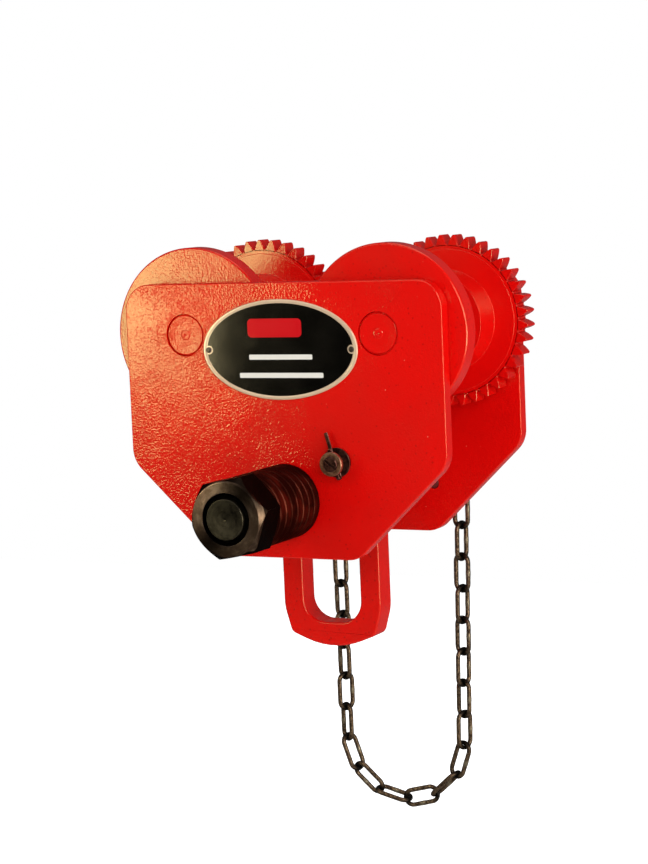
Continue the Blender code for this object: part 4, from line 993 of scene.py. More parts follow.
def gear_teeth(name, teeth, centre, phase, inside, low, high, finish):
    x, z = centre
    outline = [(x + u, z + v) for u, v in tooth_outline(teeth, phase, inside)]
    bm = pushed(outline, low, high)
    rims = [edge for edge in bm.edges if abs(edge.verts[0].co.y - edge.verts[1].co.y) < 1e-9]
    bmesh.ops.bevel(bm, geom=rims, offset=0.0003, segments=1, affect="EDGES")
    values = {"Count": teeth, "Centre": (x, 0.0, z), "Finish": finish}
    return through_nodes(name, bm, REPEAT_ROUND, values)


print("helpers: gear teeth by Geometry Nodes")

# %% Wheels
def wheel_points(flange, chamfer, recess=None):
    """From the outer lip round the flange and tread to the bearing's seat; recess is (radius, depth)."""
    shoulder = BEARING_START - SEAT
    points = [(COLLAR_RADIUS + 0.0008, WHEEL_NEAR)]
    if recess:
        points += [
            (recess[0], WHEEL_NEAR), (recess[0], WHEEL_NEAR + recess[1]), (flange, WHEEL_NEAR + recess[1])
        ]
        points += [
            (flange, WHEEL_FLANGE_END - recess[1]),
            (recess[0], WHEEL_FLANGE_END - recess[1]),
            (recess[0], WHEEL_FLANGE_END),
        ]
    else:
        points += [(flange - chamfer, WHEEL_NEAR), (flange, WHEEL_NEAR + chamfer)]
        points += [(flange, WHEEL_FLANGE_END - chamfer), (flange - chamfer, WHEEL_FLANGE_END)]
    points += [(0.046, WHEEL_FLANGE_END), (0.0445, WHEEL_FAR), (BEARING_RADIUS + SEAT, WHEEL_FAR)]
    return points + [(BEARING_RADIUS + SEAT, shoulder), (COLLAR_RADIUS + 0.0008, shoulder)]


root = GEAR_RADIUS - 1.25 * GEAR_MODULE
for corner, (side, x) in corner_places.items():
    name, at = f"wheel_{corner}", (x, WHEEL_Z)
    if side < 0:
        profile = softened(on_side(side, wheel_points(0.077, 0.0012)), 0.0012)
        settle(f"dressed_{name}", lathe(profile, at, 160), RED_TURNED, name, [name])
        continue
    profile = softened(on_side(side, wheel_points(root, 0.0, (root - GEAR_MODULE, 0.0006))), 0.0005)
    low, high = inboard(side, WHEEL_FLANGE_END - 0.0006), inboard(side, WHEEL_NEAR + 0.0006)
    teeth = gear_teeth(name, WHEEL_TEETH, at, gear_phase(x), root - 0.001, low, high, RED_TURNED)
    settle(
        f"dressed_{name}",
        with_mesh(lathe(profile, at, 148), teeth),
        RED_TURNED,
        name,
        [name],
        radians(35),
    )

# %% [markdown]
# ## Nameplate
#
# The oval plate between the axles is pressed sheet with a rolled rim, held by two small rivets. Its
# field is plain black with a red bar and two pale ones. The bars are masks in the material, drawn from
# distances to their edges, so they stay sharp at any size.

# %% Nameplate
def oval_plate():
    """Ovals from the back, over the rolled rim, down to the field: (inset from the edge, y) for each."""
    back = -PLATE_OUTER - SEAT
    levels = [
        (0.0000, back),
        (0.0000, back - 0.0010),
        (0.0004, back - 0.0015),
        (0.0010, back - 0.0017),
        (0.0022, back - 0.0017),
        (0.0028, back - 0.0015),
        (0.0031, back - 0.0012),
    ]
    bm = bmesh.new()
    loops = []
    for inset, y in levels:
        loop = []
        for number in range(128):
            angle = 2 * pi * number / 128
            x = (NAMEPLATE_REACH - inset) * cos(angle)
            z = NAMEPLATE_Z + (NAMEPLATE_RISE - inset) * sin(angle)
            loop.append(bm.verts.new((x, y, z)))
        loops.append(loop)
    for one, other in zip(loops, loops[1:]):
        bridge(bm, one, other)
    bm.faces.new(loops[0])
    bm.faces.new(loops[-1])
    bmesh.ops.recalc_face_normals(bm, faces=bm.faces)
    return bm


plate = as_object("draft_nameplate", oval_plate())
drills = []
for x in (-RIVET_X, RIVET_X):
    low, high = -PLATE_OUTER - 0.004, -PLATE_OUTER + 0.001
    drills.append(as_object("drill_nameplate", cylinder(0.0017, low, high, (x, NAMEPLATE_Z), 24)))
carve(plate, drills)
nameplate_mesh = plain_mesh(plate)
discard(plate, *drills)


def nameplate_enamel():
    """Black enamel field with plain bars, and a pale rim that also runs round each rivet."""
    made, tree, shader = new_finish(
        "nameplate_enamel", {"Specular IOR Level": 0.60, "Specular Tint": (1.0, 0.87, 0.74, 1)}
    )
    place = add(tree, "ShaderNodeTexCoord").outputs["Object"]
    parts = add(tree, "ShaderNodeSeparateXYZ", {0: place})
    x = parts.outputs["X"]
    z = minus(tree, parts.outputs["Z"], NAMEPLATE_Z)

    def bar(centre_x, centre_z, half_width, half_height, corner, blur=0.0002):
        """1 inside a bar with round corners, from the distance to its edge."""
        across = minus(tree, maths(tree, "ABSOLUTE", minus(tree, x, centre_x)), half_width - corner)
        above = minus(tree, maths(tree, "ABSOLUTE", minus(tree, z, centre_z)), half_height - corner)
        across = maths(tree, "MAXIMUM", across, 0.0)
        above = maths(tree, "MAXIMUM", above, 0.0)
        return fitted(tree, hypotenuse(tree, across, above), corner - blur, corner + blur, 1.0, 0.0)

    u = maths(tree, "DIVIDE", x, NAMEPLATE_REACH - 0.0024)
    v = maths(tree, "DIVIDE", z, NAMEPLATE_RISE - 0.0024)
    rim = fitted(tree, hypotenuse(tree, u, v), 0.974, 0.982)
    off = minus(tree, maths(tree, "ABSOLUTE", x), RIVET_X)
    collar = fitted(tree, hypotenuse(tree, off, z), 0.0041, 0.0036)
    rim = maths(tree, "MAXIMUM", rim, collar)
    cloud = fitted(tree, noise(tree, place, 40.0, 3.0), 0.3, 0.7)
    colour = blended(tree, cloud, (0.0008, 0.0008, 0.0007), (0.0024, 0.0022, 0.0020))
    colour = blended(tree, bar(-0.004, 0.0190, 0.0265, 0.0082, 0.004), colour, (0.62, 0.006, 0.012))
    for centre_x, centre_z, half_width in PALE_BARS:
        colour = blended(
            tree, bar(centre_x, centre_z, half_width, 0.0022, 0.0010), colour, (0.86, 0.85, 0.82)
        )
    colour = blended(tree, rim, colour, (0.82, 0.62, 0.44))
    roughness = fitted(tree, cloud, 0.0, 1.0, 0.13, 0.16)
    metallic = times(tree, rim, 0.25)
    tree.links.new(metallic, shader.inputs["Metallic"])
    feed(tree, shader, colour, roughness, noise(tree, place, 500.0, 2.0), 0.12, 0.0002)
    return made


PALE_BARS = [(0.001, -0.0065, 0.031), (0.001, -0.0225, 0.041)]
settle("dressed_nameplate", nameplate_mesh, nameplate_enamel(), "frame", ["nameplate"])
top = -PLATE_OUTER - SEAT - 0.0012 - SEAT
for word, x in (("left", -RIVET_X), ("right", RIVET_X)):
    points = [
        (0, -PLATE_OUTER + 0.006),
        (0.0014, -PLATE_OUTER + 0.006),
        (0.0014, top),
        (0.0027, top),
        (0.0024, top - 0.0006),
        (0.0014, top - 0.00095),
        (0, top - 0.0010),
    ]
    name = f"nameplate_rivet_{word}"
    turned(
        f"dressed_{name}", points, (x, NAMEPLATE_Z), RIVET_STEEL, "frame", [name], 0.0002, 32
    )

# %% [markdown]
# ## Hanger bolt, nut and spacers
#
# The gap between the plates can be set: spacers are moved from the outside of the plates to the
# inside. Here seven spare ones are stacked outside the front plate under the nut. They are one shape
# repeated along the bolt, so one spacer is modelled and Geometry Nodes lines up the rest.

# %% Spacers in a row
def repeat_along():
    """A node tree: Count copies of the given mesh, each moved one more Step."""
    tree, given, out = geometry_tree("repeat_along_a_bolt", Count="Int", Step="Vector", Finish="Material")
    copies = counted_copies(tree, given)
    index = copies.outputs["Duplicate Index"]
    move = add(tree, "ShaderNodeVectorMath", {0: given.outputs["Step"]}, operation="SCALE")
    tree.links.new(index, move.inputs["Scale"])
    inputs = {"Instances": copies.outputs["Geometry"], "Translation": move.outputs[0], "Local Space": False}
    placed = add(tree, "GeometryNodeTranslateInstances", inputs)
    return made_real(tree, placed, given, out)


SPARE_SPACERS, SPACER, SPACER_RADIUS, BORE = 7, 0.0103, 0.033, BOLT_RADIUS + SEAT
NUT_WASHER, HEX_FLATS, NUT_HEIGHT = 0.003, 0.065, 0.034
on_bolt = (0, BOLT_Z)


def ring_points(outer, low, high, chamfer, inner=BORE):
    points = [(inner, low), (outer - chamfer, low), (outer, low + chamfer)]
    return points + [(outer, high - chamfer), (outer - chamfer, high), (inner, high)]


first_high = -PLATE_OUTER - SEAT
points = ring_points(SPACER_RADIUS, first_high - SPACER, first_high, 0.0009)
spacer = lathe(softened(points, 0.0003), on_bolt, 96)
values = {"Count": SPARE_SPACERS, "Step": (0.0, -(SPACER + SEAT), 0.0), "Finish": DARK_STEEL}
stack = through_nodes("spacers", spacer, repeat_along(), values)
names = [f"spare_spacer_{number}" for number in range(1, SPARE_SPACERS + 1)]
settle("dressed_spare_spacers", stack, DARK_STEEL, "frame", names, radians(40))

washer_high = first_high - SPARE_SPACERS * (SPACER + SEAT)
NUT_HIGH = washer_high - NUT_WASHER - SEAT
NUT_LOW = NUT_HIGH - NUT_HEIGHT
rings = {
    "nut_washer": ring_points(SPACER_RADIUS * 0.97, washer_high - NUT_WASHER, washer_high, 0.0005),
    "inner_washer_front": ring_points(SPACER_RADIUS, -0.0782, -0.0682, 0.0008),
    "inner_washer_rear": ring_points(SPACER_RADIUS, 0.0682, 0.0782, 0.0008),
    "inner_spacer_front": ring_points(SPACER_RADIUS, -0.0679, -0.0123, 0.0012),
    "inner_spacer_rear": ring_points(SPACER_RADIUS, 0.0123, 0.0679, 0.0012),
}
for name, points in rings.items():
    turned(f"dressed_{name}", points, on_bolt, DARK_STEEL, "frame", [name], 0.0004)

# %% Nut and bolt
def hexagon(flats, fillet, turn=pi / 2):
    radius = flats / 2 / cos(pi / 6)
    corners = [(radius * cos(turn + pi * n / 3), radius * sin(turn + pi * n / 3), fillet) for n in range(6)]
    return rounded(corners, radians(12))


def hex_body(name, centre, flats, low, high, taper, chamfer, turn=pi / 2):
    """A hexagon whose corners were turned off at both ends; its low end tapers over `taper`."""
    x, z = centre
    corner, face, past = flats / 2 / cos(pi / 6), flats / 2 * 0.97, 0.1
    spread = (corner - face) * past
    outline = [(x + u, z + v) for u, v in hexagon(flats, flats * 0.015, turn)]
    blank = as_object(f"hex_{name}", pushed(outline, low, high))
    points = [
        (0, low - taper * past),
        (face - spread, low - taper * past),
        (corner + spread, low + taper * (1 + past)),
        (corner + spread, high - chamfer * (1 + past)),
        (face - spread, high + chamfer * past),
        (0, high + chamfer * past),
    ]
    barrel = as_object(f"barrel_{name}", lathe(points, centre, 120))
    carve(blank, [barrel], "INTERSECT")
    return blank, barrel


blank, barrel = hex_body("nut", on_bolt, HEX_FLATS, NUT_LOW, NUT_HIGH, 0.008, 0.0034, pi / 2 + radians(-18.5))
mouth = BORE + 0.0012
points = [
    (0, NUT_LOW - 0.002),
    (mouth, NUT_LOW - 0.002),
    (mouth, NUT_LOW + 0.0060),
    (BORE, NUT_LOW + 0.0080),
    (BORE, NUT_HIGH + 0.002),
    (0, NUT_HIGH + 0.002),
]
drill = as_object("drill_nut", lathe(points, on_bolt, 96))
carve(blank, [drill])
soften_edges(blank, 0.0004, 18)
nut_mesh = plain_mesh(blank)
settle("dressed_hanger_nut", nut_mesh, NUT_STEEL, "frame", ["hanger_nut"], radians(30))
discard(blank, barrel, drill)

head_low = PLATE_OUTER + SEAT
blank, barrel = hex_body("bolt", on_bolt, HEX_FLATS, head_low, head_low + 0.026, 0.0034, 0.0034)
soften_edges(blank, 0.0004, 18)
head_mesh = plain_mesh(blank)
end = NUT_LOW - 0.0015
points = [
    (0, end + 0.0006),
    (0.0010, end),
    (BOLT_RADIUS - 0.0040, end),
    (BOLT_RADIUS - 0.0035, end + 0.0005),
    (BOLT_RADIUS - 0.0034, end + 0.0050),
    (BOLT_RADIUS, end + 0.0090),
    (BOLT_RADIUS, head_low + 0.013),
    (0, head_low + 0.013),
]
bolt = with_mesh(lathe(softened(points, 0.0004), on_bolt, 96), head_mesh)
settle("dressed_hanger_bolt", bolt, BOLT_STEEL, "frame", ["hanger_bolt"], radians(30))
discard(blank, barrel)

# %% [markdown]
# ## Suspension plate
#
# The thick plate that hangs on the bolt takes the hoist's top hook in its eye. It is flame cut and
# ground like the side plates, but its edges are rounder, since a hook and a chain rub on them.

# %% Suspension plate
half = 0.049
outline = rounded(
    [
        (half, BOLT_Z + half, half * 0.999),
        (-half, BOLT_Z + half, half * 0.999),
        (-half, -0.211, 0.045),
        (-0.0425, -0.2345, 0.008),
        (0, -0.2515, 0.075),
        (0.0425, -0.2345, 0.008),
        (half, -0.211, 0.045),
    ]
)
eye = rounded(
    [(0.029, -0.150, 0.010), (-0.029, -0.150, 0.010), (-0.029, -0.224, 0.021), (0.029, -0.224, 0.021)]
)
holes = [(0, BOLT_Z, BOLT_RADIUS + 0.0008)]
cutter = pushed(eye, -0.014, 0.014)
cut_plate(
    "dressed_suspension_plate", outline, -0.012, 0.012, holes, RED_SMOOTH, "suspension",
    ["suspension_plate"], (0.0024, 0.0024), [cutter],
)

# %% [markdown]
# ## Tie rod and split pins
#
# The tie rod beside the hanger bolt keeps the plates in line. A split pin is one half-round wire folded
# back on itself, pushed through a hole and bent open: its eye stays on one side and its legs spread on
# the other. Its section is an oval swept along a route that is smoothed between a few points.

# %% Split pins
def smooth_route(places, steps=5):
    """A finer route through the given places, curved with Catmull and Rom's spline."""
    route = []
    for index in range(len(places) - 1):
        ends = [
            places[max(index - 1, 0)],
            places[index],
            places[index + 1],
            places[min(index + 2, len(places) - 1)],
        ]
        for number in range(steps):
            s = number / steps
            weights = (
                -0.5 * s + s**2 - 0.5 * s**3,
                1 - 2.5 * s**2 + 1.5 * s**3,
                0.5 * s + 2 * s**2 - 1.5 * s**3,
                -0.5 * s**2 + 0.5 * s**3,
            )
            route.append(sum((end * weight for end, weight in zip(ends, weights)), Vector()))
    return route + [places[-1]]


def swept_half_round(route, wide, half_width, half_thickness):
    """A flat-sided wire along a route that lies in the plane square to `wide`, with closed ends."""
    bm = bmesh.new()
    rings = []
    for index, point in enumerate(route):
        before, after = route[max(index - 1, 0)], route[min(index + 1, len(route) - 1)]
        thin = (after - before).normalized().cross(wide)
        loop = []
        for side in range(14):
            turn = 2 * pi * side / 14
            offset = wide * (cos(turn) * half_width) + thin * (sin(turn) * half_thickness)
            loop.append(bm.verts.new(point + offset))
        rings.append(loop)
    for one, other in zip(rings, rings[1:]):
        bridge(bm, one, other)
    bm.faces.new(rings[0])
    bm.faces.new(rings[-1])
    return bm


def split_pin(name, centre, lean, step_aside, legs, rod, finish, body):
    """Two legs through the rod, an eye on one side and the ends bent apart on the other."""
    centre, along, across = Vector(centre), Vector(lean).normalized(), Vector(step_aside).normalized()
    eye_radius, half = 0.0026, 0.0011
    long_leg, spread = legs
    through = rod + 0.0012
    neck = -through - eye_radius * 1.5
    route = [
        (long_leg, half + 0.0010),
        ((long_leg + through) / 2, half + 0.0006),
        (through + 0.001, half),
        (0.0, half * 0.95),
        (-through, half),
        (neck + eye_radius * 0.9, eye_radius),
        (neck - eye_radius * 0.7, eye_radius * 0.72),
        (neck - eye_radius, 0.0),
        (neck - eye_radius * 0.7, -eye_radius * 0.72),
        (neck + eye_radius * 0.9, -eye_radius),
        (-through, -half),
        (0.0, -half * 0.95),
        (through + 0.001, -half),
        (through + 0.005, -half - spread),
    ]
    places = [centre + along * forward + across * aside for forward, aside in route]
    bm = swept_half_round(smooth_route(places), along.cross(across), 0.0018, 0.0009)
    settle(f"dressed_{name}", bm, finish, body, [name])


# %% Tie rod
tie_at, tie_radius = TIE_ROD[:2], TIE_ROD[2]
tie_end = -PLATE_OUTER - 0.0155
points = [
    (0, tie_end),
    (tie_radius - 0.0008, tie_end),
    (tie_radius, tie_end + 0.0008),
    (tie_radius, head_low),
    (0.0106, head_low),
    (0.0106, head_low + 0.0048),
    (0.0094, head_low + 0.006),
    (0, head_low + 0.006),
]
rod = as_object("draft_rod", lathe(softened(points, 0.0003), tie_at, 64))
turn = radians(-38)
along, across = Vector((cos(turn), sin(turn))), Vector((-sin(turn), cos(turn)))
corners = [
    Vector(tie_at) + along * a * 0.009 + across * b * 0.0008 for a, b in ((1, 1), (-1, 1), (-1, -1), (1, -1))
]
slot_cutter = as_object("cut_slot", pushed([tuple(c) for c in corners], tie_end - 0.002, tie_end + 0.002))
carve(rod, [slot_cutter])
rod_mesh = plain_mesh(rod)
discard(rod, slot_cutter)
settle("dressed_tie_rod", rod_mesh, DARK_ROD, "frame", ["tie_rod"], radians(35))
rod_bore, pin_room = tie_radius + SEAT, SEAT + 0.0035
high = -PLATE_OUTER - SEAT
points = ring_points(0.013, high - 0.0025, high, 0.0004, rod_bore)
turned(
    "dressed_tie_rod_washer", points, tie_at, DARK_ROD, "frame", ["tie_rod_washer"], 0.0002, 64
)
pin_y = high - 0.0025 - pin_room
high = pin_y - pin_room
points = ring_points(0.0106, high - 0.0042, high, 0.0006, rod_bore)
turned(
    "dressed_tie_rod_collar",
    points,
    tie_at,
    COLLAR_STEEL,
    "frame",
    ["tie_rod_collar"],
    0.0002,
    64,
)
pin_at = (tie_at[0], pin_y, tie_at[1])
split_pin(
    "tie_rod_split_pin",
    pin_at,
    (-0.30, 0, 0.954),
    (0, 1, 0),
    (0.0276, 0.001),
    tie_radius,
    DARK_ROD,
    "frame",
)

# %% [markdown]
# ## Drive
#
# Behind the rear plate a pocket wheel turns the pinion shaft, and the pinion turns both gear wheels.
# The pinion's teeth come from the same tree as the wheels' teeth. The shaft runs in a bronze bush in a
# boss that is welded to the plate.

# %% Pinion shaft, boss and bush
drive_at = (0, DRIVE_Z)
gear_low, gear_high = PLATE_INNER - WHEEL_FLANGE_END, PLATE_INNER - WHEEL_NEAR
hub_low, hub_high = CHAIN_PLANE - 0.016, CHAIN_PLANE + 0.016
shaft_end = hub_high + 0.012
pinion_root = PINION_RADIUS - 1.25 * GEAR_MODULE
points = [
    (0, gear_low + 0.0008),
    (0.0128, gear_low + 0.0008),
    (0.0128, gear_low),
    (pinion_root, gear_low),
    (pinion_root, gear_high),
    (0.014, gear_high),
    (0.014, hub_low - 0.0003),
    (0.012, hub_low - 0.0003),
    (0.012, shaft_end - 0.001),
    (0.011, shaft_end),
    (0.0018, shaft_end),
    (0, shaft_end - 0.0016),
]
teeth = gear_teeth(
    "pinion", PINION_TEETH, drive_at, 0.0, pinion_root - 0.001, gear_low, gear_high, DARK_SHAFT
)
shaft = with_mesh(lathe(softened(points, 0.0003), drive_at, 104), teeth)
settle("dressed_pinion_shaft", shaft, DARK_SHAFT, "drive", ["pinion_shaft"], radians(35))

boss_low, boss_high, lip = PLATE_INNER + SEAT, PLATE_INNER + 0.034, PLATE_OUTER + SEAT
bush_bore = 0.0146
points = [
    (bush_bore + 0.0043, boss_low),
    (BOSS_RADIUS, boss_low),
    (BOSS_RADIUS, lip),
    (0.032, lip),
    (0.032, lip + 0.006),
    (BOSS_RADIUS, lip + 0.010),
    (BOSS_RADIUS, boss_high),
    (bush_bore + 0.0043, boss_high),
]
turned("dressed_shaft_boss", points, drive_at, RED, "frame", ["shaft_boss"], 0.0012)
points = [
    (bush_bore, boss_low),
    (bush_bore + 0.004, boss_low),
    (bush_bore + 0.004, boss_high + SEAT),
    (bush_bore + 0.007, boss_high + SEAT),
    (bush_bore + 0.007, boss_high + SEAT + 0.002),
    (bush_bore, boss_high + SEAT + 0.002),
]
turned("dressed_shaft_bush", points, drive_at, BRONZE, "frame", ["shaft_bush"], 0.0004)
points = ring_points(0.020, hub_high + SEAT, hub_high + SEAT + 0.0025, 0.0005, 0.0123)
turned(
    "dressed_shaft_washer", points, drive_at, ZINC_DRIVE, "drive", ["shaft_washer"], 0.0003
)
pin_y = hub_high + SEAT + 0.0025 + SEAT + 0.0035
split_pin(
    "shaft_split_pin",
    (0, pin_y, DRIVE_Z),
    (0, 0, 1),
    (0, -1, 0),
    (0.018, 0.0032),
    0.012,
    ZINC_DRIVE,
    "drive",
)

# %% [markdown]
# ## Hand chain wheel
#
# The links lie on the wheel by turns flat and upright. Upright ones run in a groove round the middle and
# flat ones drop into seven pockets. So the wheel's section changes as it goes round: the floor sinks and
# the walls widen at each pocket. The mesh is that section, swept round in fine steps, with the pocket's
# depth following a smooth wave.

# %% Hand chain wheel
def chain_wheel():
    apothem = CHAIN_PITCH / 2 / tan(pi / (2 * POCKETS))
    drum = apothem - WIRE / 2 - SEAT
    groove = apothem - (LINK_WIDTH - WIRE) / 2 - WIRE / 2 - SEAT
    flat, half, under = LINK_WIDTH / 2 + SEAT, 0.0155, groove - 0.0055

    def section_at(from_pocket):
        share = 0.5 + 0.5 * cos(POCKETS * from_pocket)
        sunk = min(1.0, 1.25 * share)
        floor, wall = drum - 0.0035 * sunk, flat + 0.0018 * share
        rim = 0.079 - 0.0012 * (1 - share)
        above = [
            (groove, 0.0),
            (groove, 0.0022),
            (groove + 0.0006, 0.0030),
            (floor - 0.0008, 0.0031),
            (floor, 0.0039),
            (floor, wall - 0.0015),
            (floor + 0.0012, wall),
            (rim - 0.0016, flat + 0.0036),
            (rim - 0.0004, flat + 0.0042),
            (rim, flat + 0.0049),
            (rim - 0.0006, half),
            (under, half),
            (under - 0.0004, half - 0.0006),
            (under - 0.002, 0.0056),
            (under - 0.0045, 0.004),
            (0.0265, 0.004),
            (0.0242, 0.0056),
            (0.0222, 0.0148),
            (0.0210, 0.016),
            (0.0123, 0.016),
        ]
        return above + [(radius, -offset) for radius, offset in reversed(above[1:])]

    count = POCKETS * 24
    bm = bmesh.new()
    loops = []
    for number in range(count):
        from_pocket = 2 * pi * number / count
        angle = pi / 2 + pi / (2 * POCKETS) + from_pocket
        section = section_at(from_pocket)
        loops.append(
            [bm.verts.new((r * cos(angle), CHAIN_PLANE + y, DRIVE_Z + r * sin(angle))) for r, y in section]
        )
    for number in range(count):
        bridge(bm, loops[number], loops[(number + 1) % count])
    return bm


settle(
    "dressed_hand_chain_wheel", chain_wheel(), RED, "drive", ["hand_chain_wheel"], radians(60)
)

# %% Chain guides
def guide(word, x):
    """A bent bracket with a slot for the chain, cut from a pushed section and softened."""
    base, sheet, bottom, far = PLATE_OUTER + SEAT, 0.004, GUIDE_TOP - 0.032, CHAIN_PLANE + 0.0145 + 0.006
    section = rounded(
        [
            (far, GUIDE_TOP, 0),
            (far, GUIDE_TOP - sheet, 0),
            (base + sheet, GUIDE_TOP - sheet, 0.0040),
            (base + sheet, bottom, 0),
            (base, bottom, 0),
            (base, GUIDE_TOP, 0.0078),
        ],
        radians(12),
    )
    reach = 0.021
    bracket = extruded([(x - reach, y, z) for y, z in section], (2 * reach, 0, 0))
    blank = as_object(f"blank_guide_{word}", bracket)
    half = 0.0145
    corners = [(x + half, CHAIN_PLANE + half, 0.005), (x - half, CHAIN_PLANE + half, 0.005)]
    corners += [(x - half, CHAIN_PLANE - half, 0.005), (x + half, CHAIN_PLANE - half, 0.005)]
    opening = [(u, v, GUIDE_TOP - 0.008) for u, v in rounded(corners, radians(12))]
    slot_tool = as_object(f"slot_{word}", extruded(opening, (0, 0, 0.012)))
    bore = cylinder(GUIDE_SCREW_RADIUS + SEAT, base - 0.002, base + sheet + 0.002, (x, GUIDE_SCREW_Z), 48)
    drill = as_object(f"drill_guide_{word}", bore)
    carve(blank, (slot_tool, drill))
    bevel = blank.modifiers.new("softened edge", "BEVEL")
    bevel.width, bevel.segments, bevel.limit_method, bevel.angle_limit = 0.0006, 3, "ANGLE", radians(40)
    mesh = plain_mesh(blank)
    discard(blank, slot_tool, drill)
    name = f"chain_guide_{word}"
    settle(f"dressed_{name}", mesh, RED, "frame", [name])
    head = base + sheet + SEAT
    blank, barrel = hex_body(f"screw_{word}", (x, GUIDE_SCREW_Z), 0.017, head, head + 0.007, 0.0009, 0.0009)
    hex_mesh = plain_mesh(blank)
    discard(blank, barrel)
    shank = [
        (0, PLATE_INNER + SEAT),
        (0.0044, PLATE_INNER + SEAT),
        (0.005, PLATE_INNER + 0.0012),
        (0.005, head + 0.0035),
        (0, head + 0.0035),
    ]
    screw = with_mesh(lathe(shank, (x, GUIDE_SCREW_Z), 48), hex_mesh)
    name = f"guide_screw_{word}"
    settle(f"dressed_{name}", screw, ZINC_DRIVE, "frame", [name], radians(22))


for word, sign in (("left", -1), ("right", 1)):
    guide(word, guide_x(sign))

# %% [markdown]
# ## Hand chain
#
# A hand chain is one link shape, thirty-eight times. Each link is a round wire bent into a long loop and
# butt welded in the middle of one side, which leaves a slightly thicker, paler place. In the tree the
# loop is a rectangle with fully rounded corners, its thickness swells at the weld, and the two places
# that neighbours rub are marked, all before the wire gets its round section. Points with their own
# rotation say where each link goes: alternate links stand at right angles, and the runs twist slowly.

# %% Chain in Geometry Nodes
def chain_tree():
    tree, given, out = geometry_tree(
        "links_on_points", Length="Float", Width="Float", Wire="Float", Finish="Material"
    )
    length, width = given.outputs["Length"], given.outputs["Width"]
    loop = add(
        tree, "GeometryNodeCurvePrimitiveQuadrilateral", {"Width": length, "Height": width}, mode="RECTANGLE"
    )
    bend = times(tree, width, 0.4999)
    bent = add(
        tree, "GeometryNodeFilletCurve", {"Curve": loop.outputs[0], "Radius": bend, "Count": 8}, mode="POLY"
    )
    even = add(tree, "GeometryNodeResampleCurve", {"Curve": bent.outputs[0], "Count": 44})
    place = add(tree, "ShaderNodeSeparateXYZ", {0: add(tree, "GeometryNodeInputPosition").outputs[0]})
    from_middle = maths(tree, "ABSOLUTE", place.outputs["X"])
    on_side = maths(tree, "GREATER_THAN", place.outputs["Y"], 0.0)
    weld = times(tree, fitted(tree, from_middle, 0.0008, 0.0034, 1.0, 0.0), on_side)
    from_end = minus(tree, times(tree, length, 0.5), from_middle)
    end = fitted(tree, from_end, 0.0005, 0.0050, 1.0, 0.0)
    marked = add(
        tree, "GeometryNodeStoreNamedAttribute", {"Geometry": even.outputs[0], "Name": "weld", "Value": weld}
    )
    marked = add(
        tree, "GeometryNodeStoreNamedAttribute", {"Geometry": marked.outputs[0], "Name": "end", "Value": end}
    )
    swell = plus(tree, times(tree, weld, 0.09), 1.0)
    thick = add(tree, "GeometryNodeSetCurveRadius", {"Curve": marked.outputs[0], "Radius": swell})
    radius = times(tree, given.outputs["Wire"], 0.5)
    section = add(
        tree, "GeometryNodeCurvePrimitiveCircle", {"Resolution": 12, "Radius": radius}, mode="RADIUS"
    )
    scale = add(tree, "GeometryNodeInputRadius").outputs[0]
    inputs = {"Curve": thick.outputs[0], "Profile Curve": section.outputs[0], "Scale": scale}
    swept = add(tree, "GeometryNodeCurveToMesh", inputs)
    turn = add(tree, "GeometryNodeInputNamedAttribute", {"Name": "turn"}, data_type="QUATERNION")
    inputs = {
        "Points": given.outputs["Geometry"],
        "Instance": swept.outputs[0],
        "Rotation": turn.outputs["Attribute"],
    }
    links = add(tree, "GeometryNodeInstanceOnPoints", inputs)
    return made_real(tree, links, given, out)


def link_twist(index):
    """How far a link is turned about the chain: none on the wheel, growing along each run."""
    right_twist, left_twist = radians(2.2), radians(-2.8)
    place = index - (POCKETS + 1)
    if place < 0:
        return 0.0
    if place < RUN_LINKS:
        return right_twist * (place + 1)
    place -= RUN_LINKS
    if place < BOTTOM_LINKS:
        share = (place + 1) / (BOTTOM_LINKS + 1)
        return RUN_LINKS * (right_twist + (left_twist - right_twist) * share)
    return left_twist * (RUN_LINKS - (place - BOTTOM_LINKS))


joints = chain_joints()
middles, turns = [], []
for index, start in enumerate(joints):
    finish_point = joints[(index + 1) % len(joints)]
    heading = (finish_point - start).normalized()
    along, third = Vector((heading.x, 0, heading.y)), Vector((0, 1, 0))
    across = along.cross(third) if index % 2 == 0 else third
    twist = link_twist(index)
    across = across * cos(twist) + along.cross(across) * sin(twist)
    normal = along.cross(across)
    middle = (start + finish_point) / 2
    middles.append((middle.x, CHAIN_PLANE, middle.y))
    turns.append(Matrix((along, across, normal)).transposed().to_quaternion())
points = bpy.data.meshes.new("link_points")
points.from_pydata(middles, [], [])
attribute = points.attributes.new("turn", "QUATERNION", "POINT")
attribute.data.foreach_set("value", [part for turn in turns for part in turn])
values = {
    "Length": CHAIN_PITCH + WIRE,
    "Width": LINK_WIDTH - 1.14 * WIRE,
    "Wire": WIRE * 1.04,
    "Finish": CHAIN_STEEL,
}
chain = through_nodes("hand_chain", points, chain_tree(), values)
names = [f"hand_chain_{part}" for part in ("over_wheel", "right_run", "bottom", "left_run")]
settle("dressed_hand_chain", chain, CHAIN_STEEL, "frame", names, radians(80))

# %% [markdown]
# ## Studio
#
# The light comes softly from the front left. A close warm softbox stands where the plate's face mirrors
# it to the camera, which gives the orange glow on the upper left. A broad key stands behind it, three
# smaller boxes light the right side, and one hangs above. The box at the back isn't mirrored, so it
# lifts the far side without whitening the treads. The pale floor well below is dark in mirrors, which
# keeps the slanted edges deep. The world is plain white where the camera sees it, and dim elsewhere.

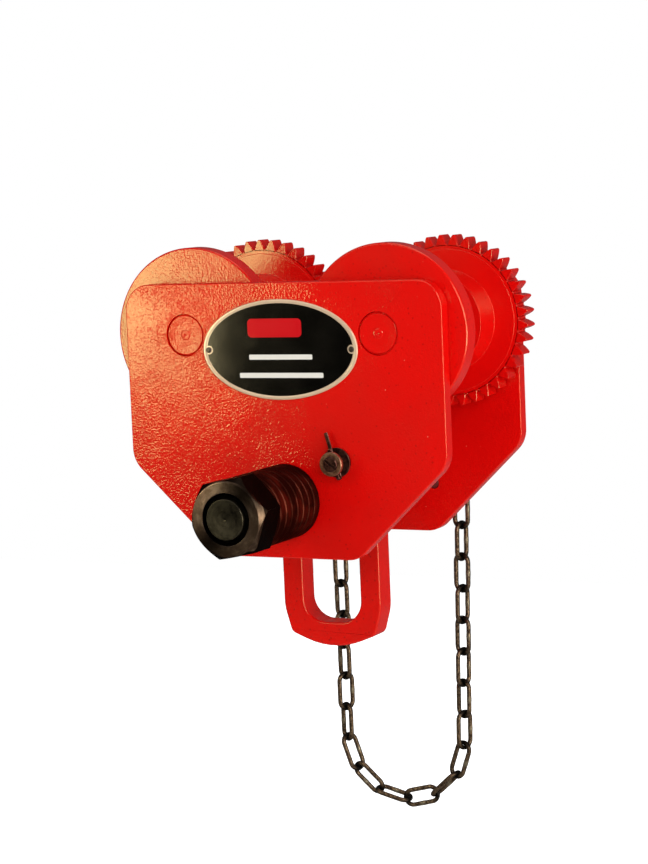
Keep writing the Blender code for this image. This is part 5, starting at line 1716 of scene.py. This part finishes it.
# %% Floor, lights and world
floor_mesh = bpy.data.meshes.new("floor")
floor_mesh.from_pydata([(-3, -2, -0.75), (3, -2, -0.75), (3, 3, -0.75), (-3, 3, -0.75)], [], [(0, 1, 2, 3)])
floor = new_object("studio_floor", floor_mesh)
floor_paint, tree, shader = new_finish("studio_floor", {"Roughness": 0.9, "Specular IOR Level": 0.1})
place = add(tree, "ShaderNodeTexCoord").outputs["Object"]
rays = add(tree, "ShaderNodeLightPath")
pale = blended(tree, noise(tree, place, 3.0), (0.90, 0.90, 0.90), (0.94, 0.94, 0.94))
tree.links.new(
    blended(tree, rays.outputs["Is Glossy Ray"], pale, (0.22, 0.22, 0.22)), shader.inputs["Base Color"]
)
seen = rays.outputs["Is Camera Ray"]
shader.inputs["Emission Color"].default_value = (1, 1, 1, 1)
tree.links.new(times(tree, seen, 0.85), shader.inputs["Emission Strength"])
floor_mesh.materials.append(floor_paint)


def softbox(name, place, aim, width, height, power, colour=(1, 1, 1)):
    light = bpy.data.objects.new(name, bpy.data.lights.new(name, "AREA"))
    light.data.shape = "RECTANGLE"
    light.data.size, light.data.size_y = width, height
    light.data.energy, light.data.color = power, colour
    light.location = place
    light.rotation_euler = (Vector(aim) - Vector(place)).to_track_quat("-Z", "Y").to_euler()
    bpy.context.scene.collection.objects.link(light)
    return light


softbox("glow_left", (-0.455, -0.59, 0.05), (-0.455, 0, 0.05), 0.195, 0.215, 1.08, (1.0, 0.96, 0.60))
softbox("key_front_left", (-1.3, -2.2, 1.5), (0, 0, 0), 1.6, 1.6, 10.5, (1.0, 0.97, 0.93))
softbox("front_right", (1.0, -1.15, 0.55), (0.05, 0, 0), 0.7, 0.7, 8.5, (1.0, 0.98, 0.95))
softbox("side_right", (1.9, -0.95, -0.05), (0, 0, -0.05), 0.7, 1.2, 12.0, (1.0, 0.92, 0.80))
softbox("corner_right", (1.96, -0.56, -0.32), (0, -0.1, -0.08), 0.6, 0.6, 7.0, (1.0, 0.90, 0.76))
softbox("top", (0.2, 0.2, 2.4), (0, 0, 0), 2.0, 2.0, 14.0)
softbox("back", (-0.9, 2.3, 0.9), (0, 0, 0), 1.6, 1.6, 22.0).visible_glossy = False

world = bpy.data.worlds.new("studio")
bpy.context.scene.world = world
world.use_nodes = True
tree = world.node_tree
tree.nodes.clear()
path = add(tree, "ShaderNodeLightPath")
heading = add(tree, "ShaderNodeSeparateXYZ", {0: add(tree, "ShaderNodeTexCoord").outputs["Generated"]})
mirrored = maths(tree, "MAXIMUM", path.outputs["Is Glossy Ray"], path.outputs["Is Transmission Ray"])
behind = fitted(tree, heading.outputs["Y"], -0.25, 0.25, 0.02, 0.09)
strength = plus(tree, times(tree, mirrored, behind), times(tree, minus(tree, 1.0, mirrored), 0.29))
strength = maths(tree, "MAXIMUM", strength, path.outputs["Is Camera Ray"])
background = add(tree, "ShaderNodeBackground", {"Color": (1, 1, 1, 1), "Strength": strength})
output = tree.nodes.new("ShaderNodeOutputWorld")
tree.links.new(background.outputs[0], output.inputs["Surface"])
bpy.context.scene.view_settings.view_transform = "Standard"
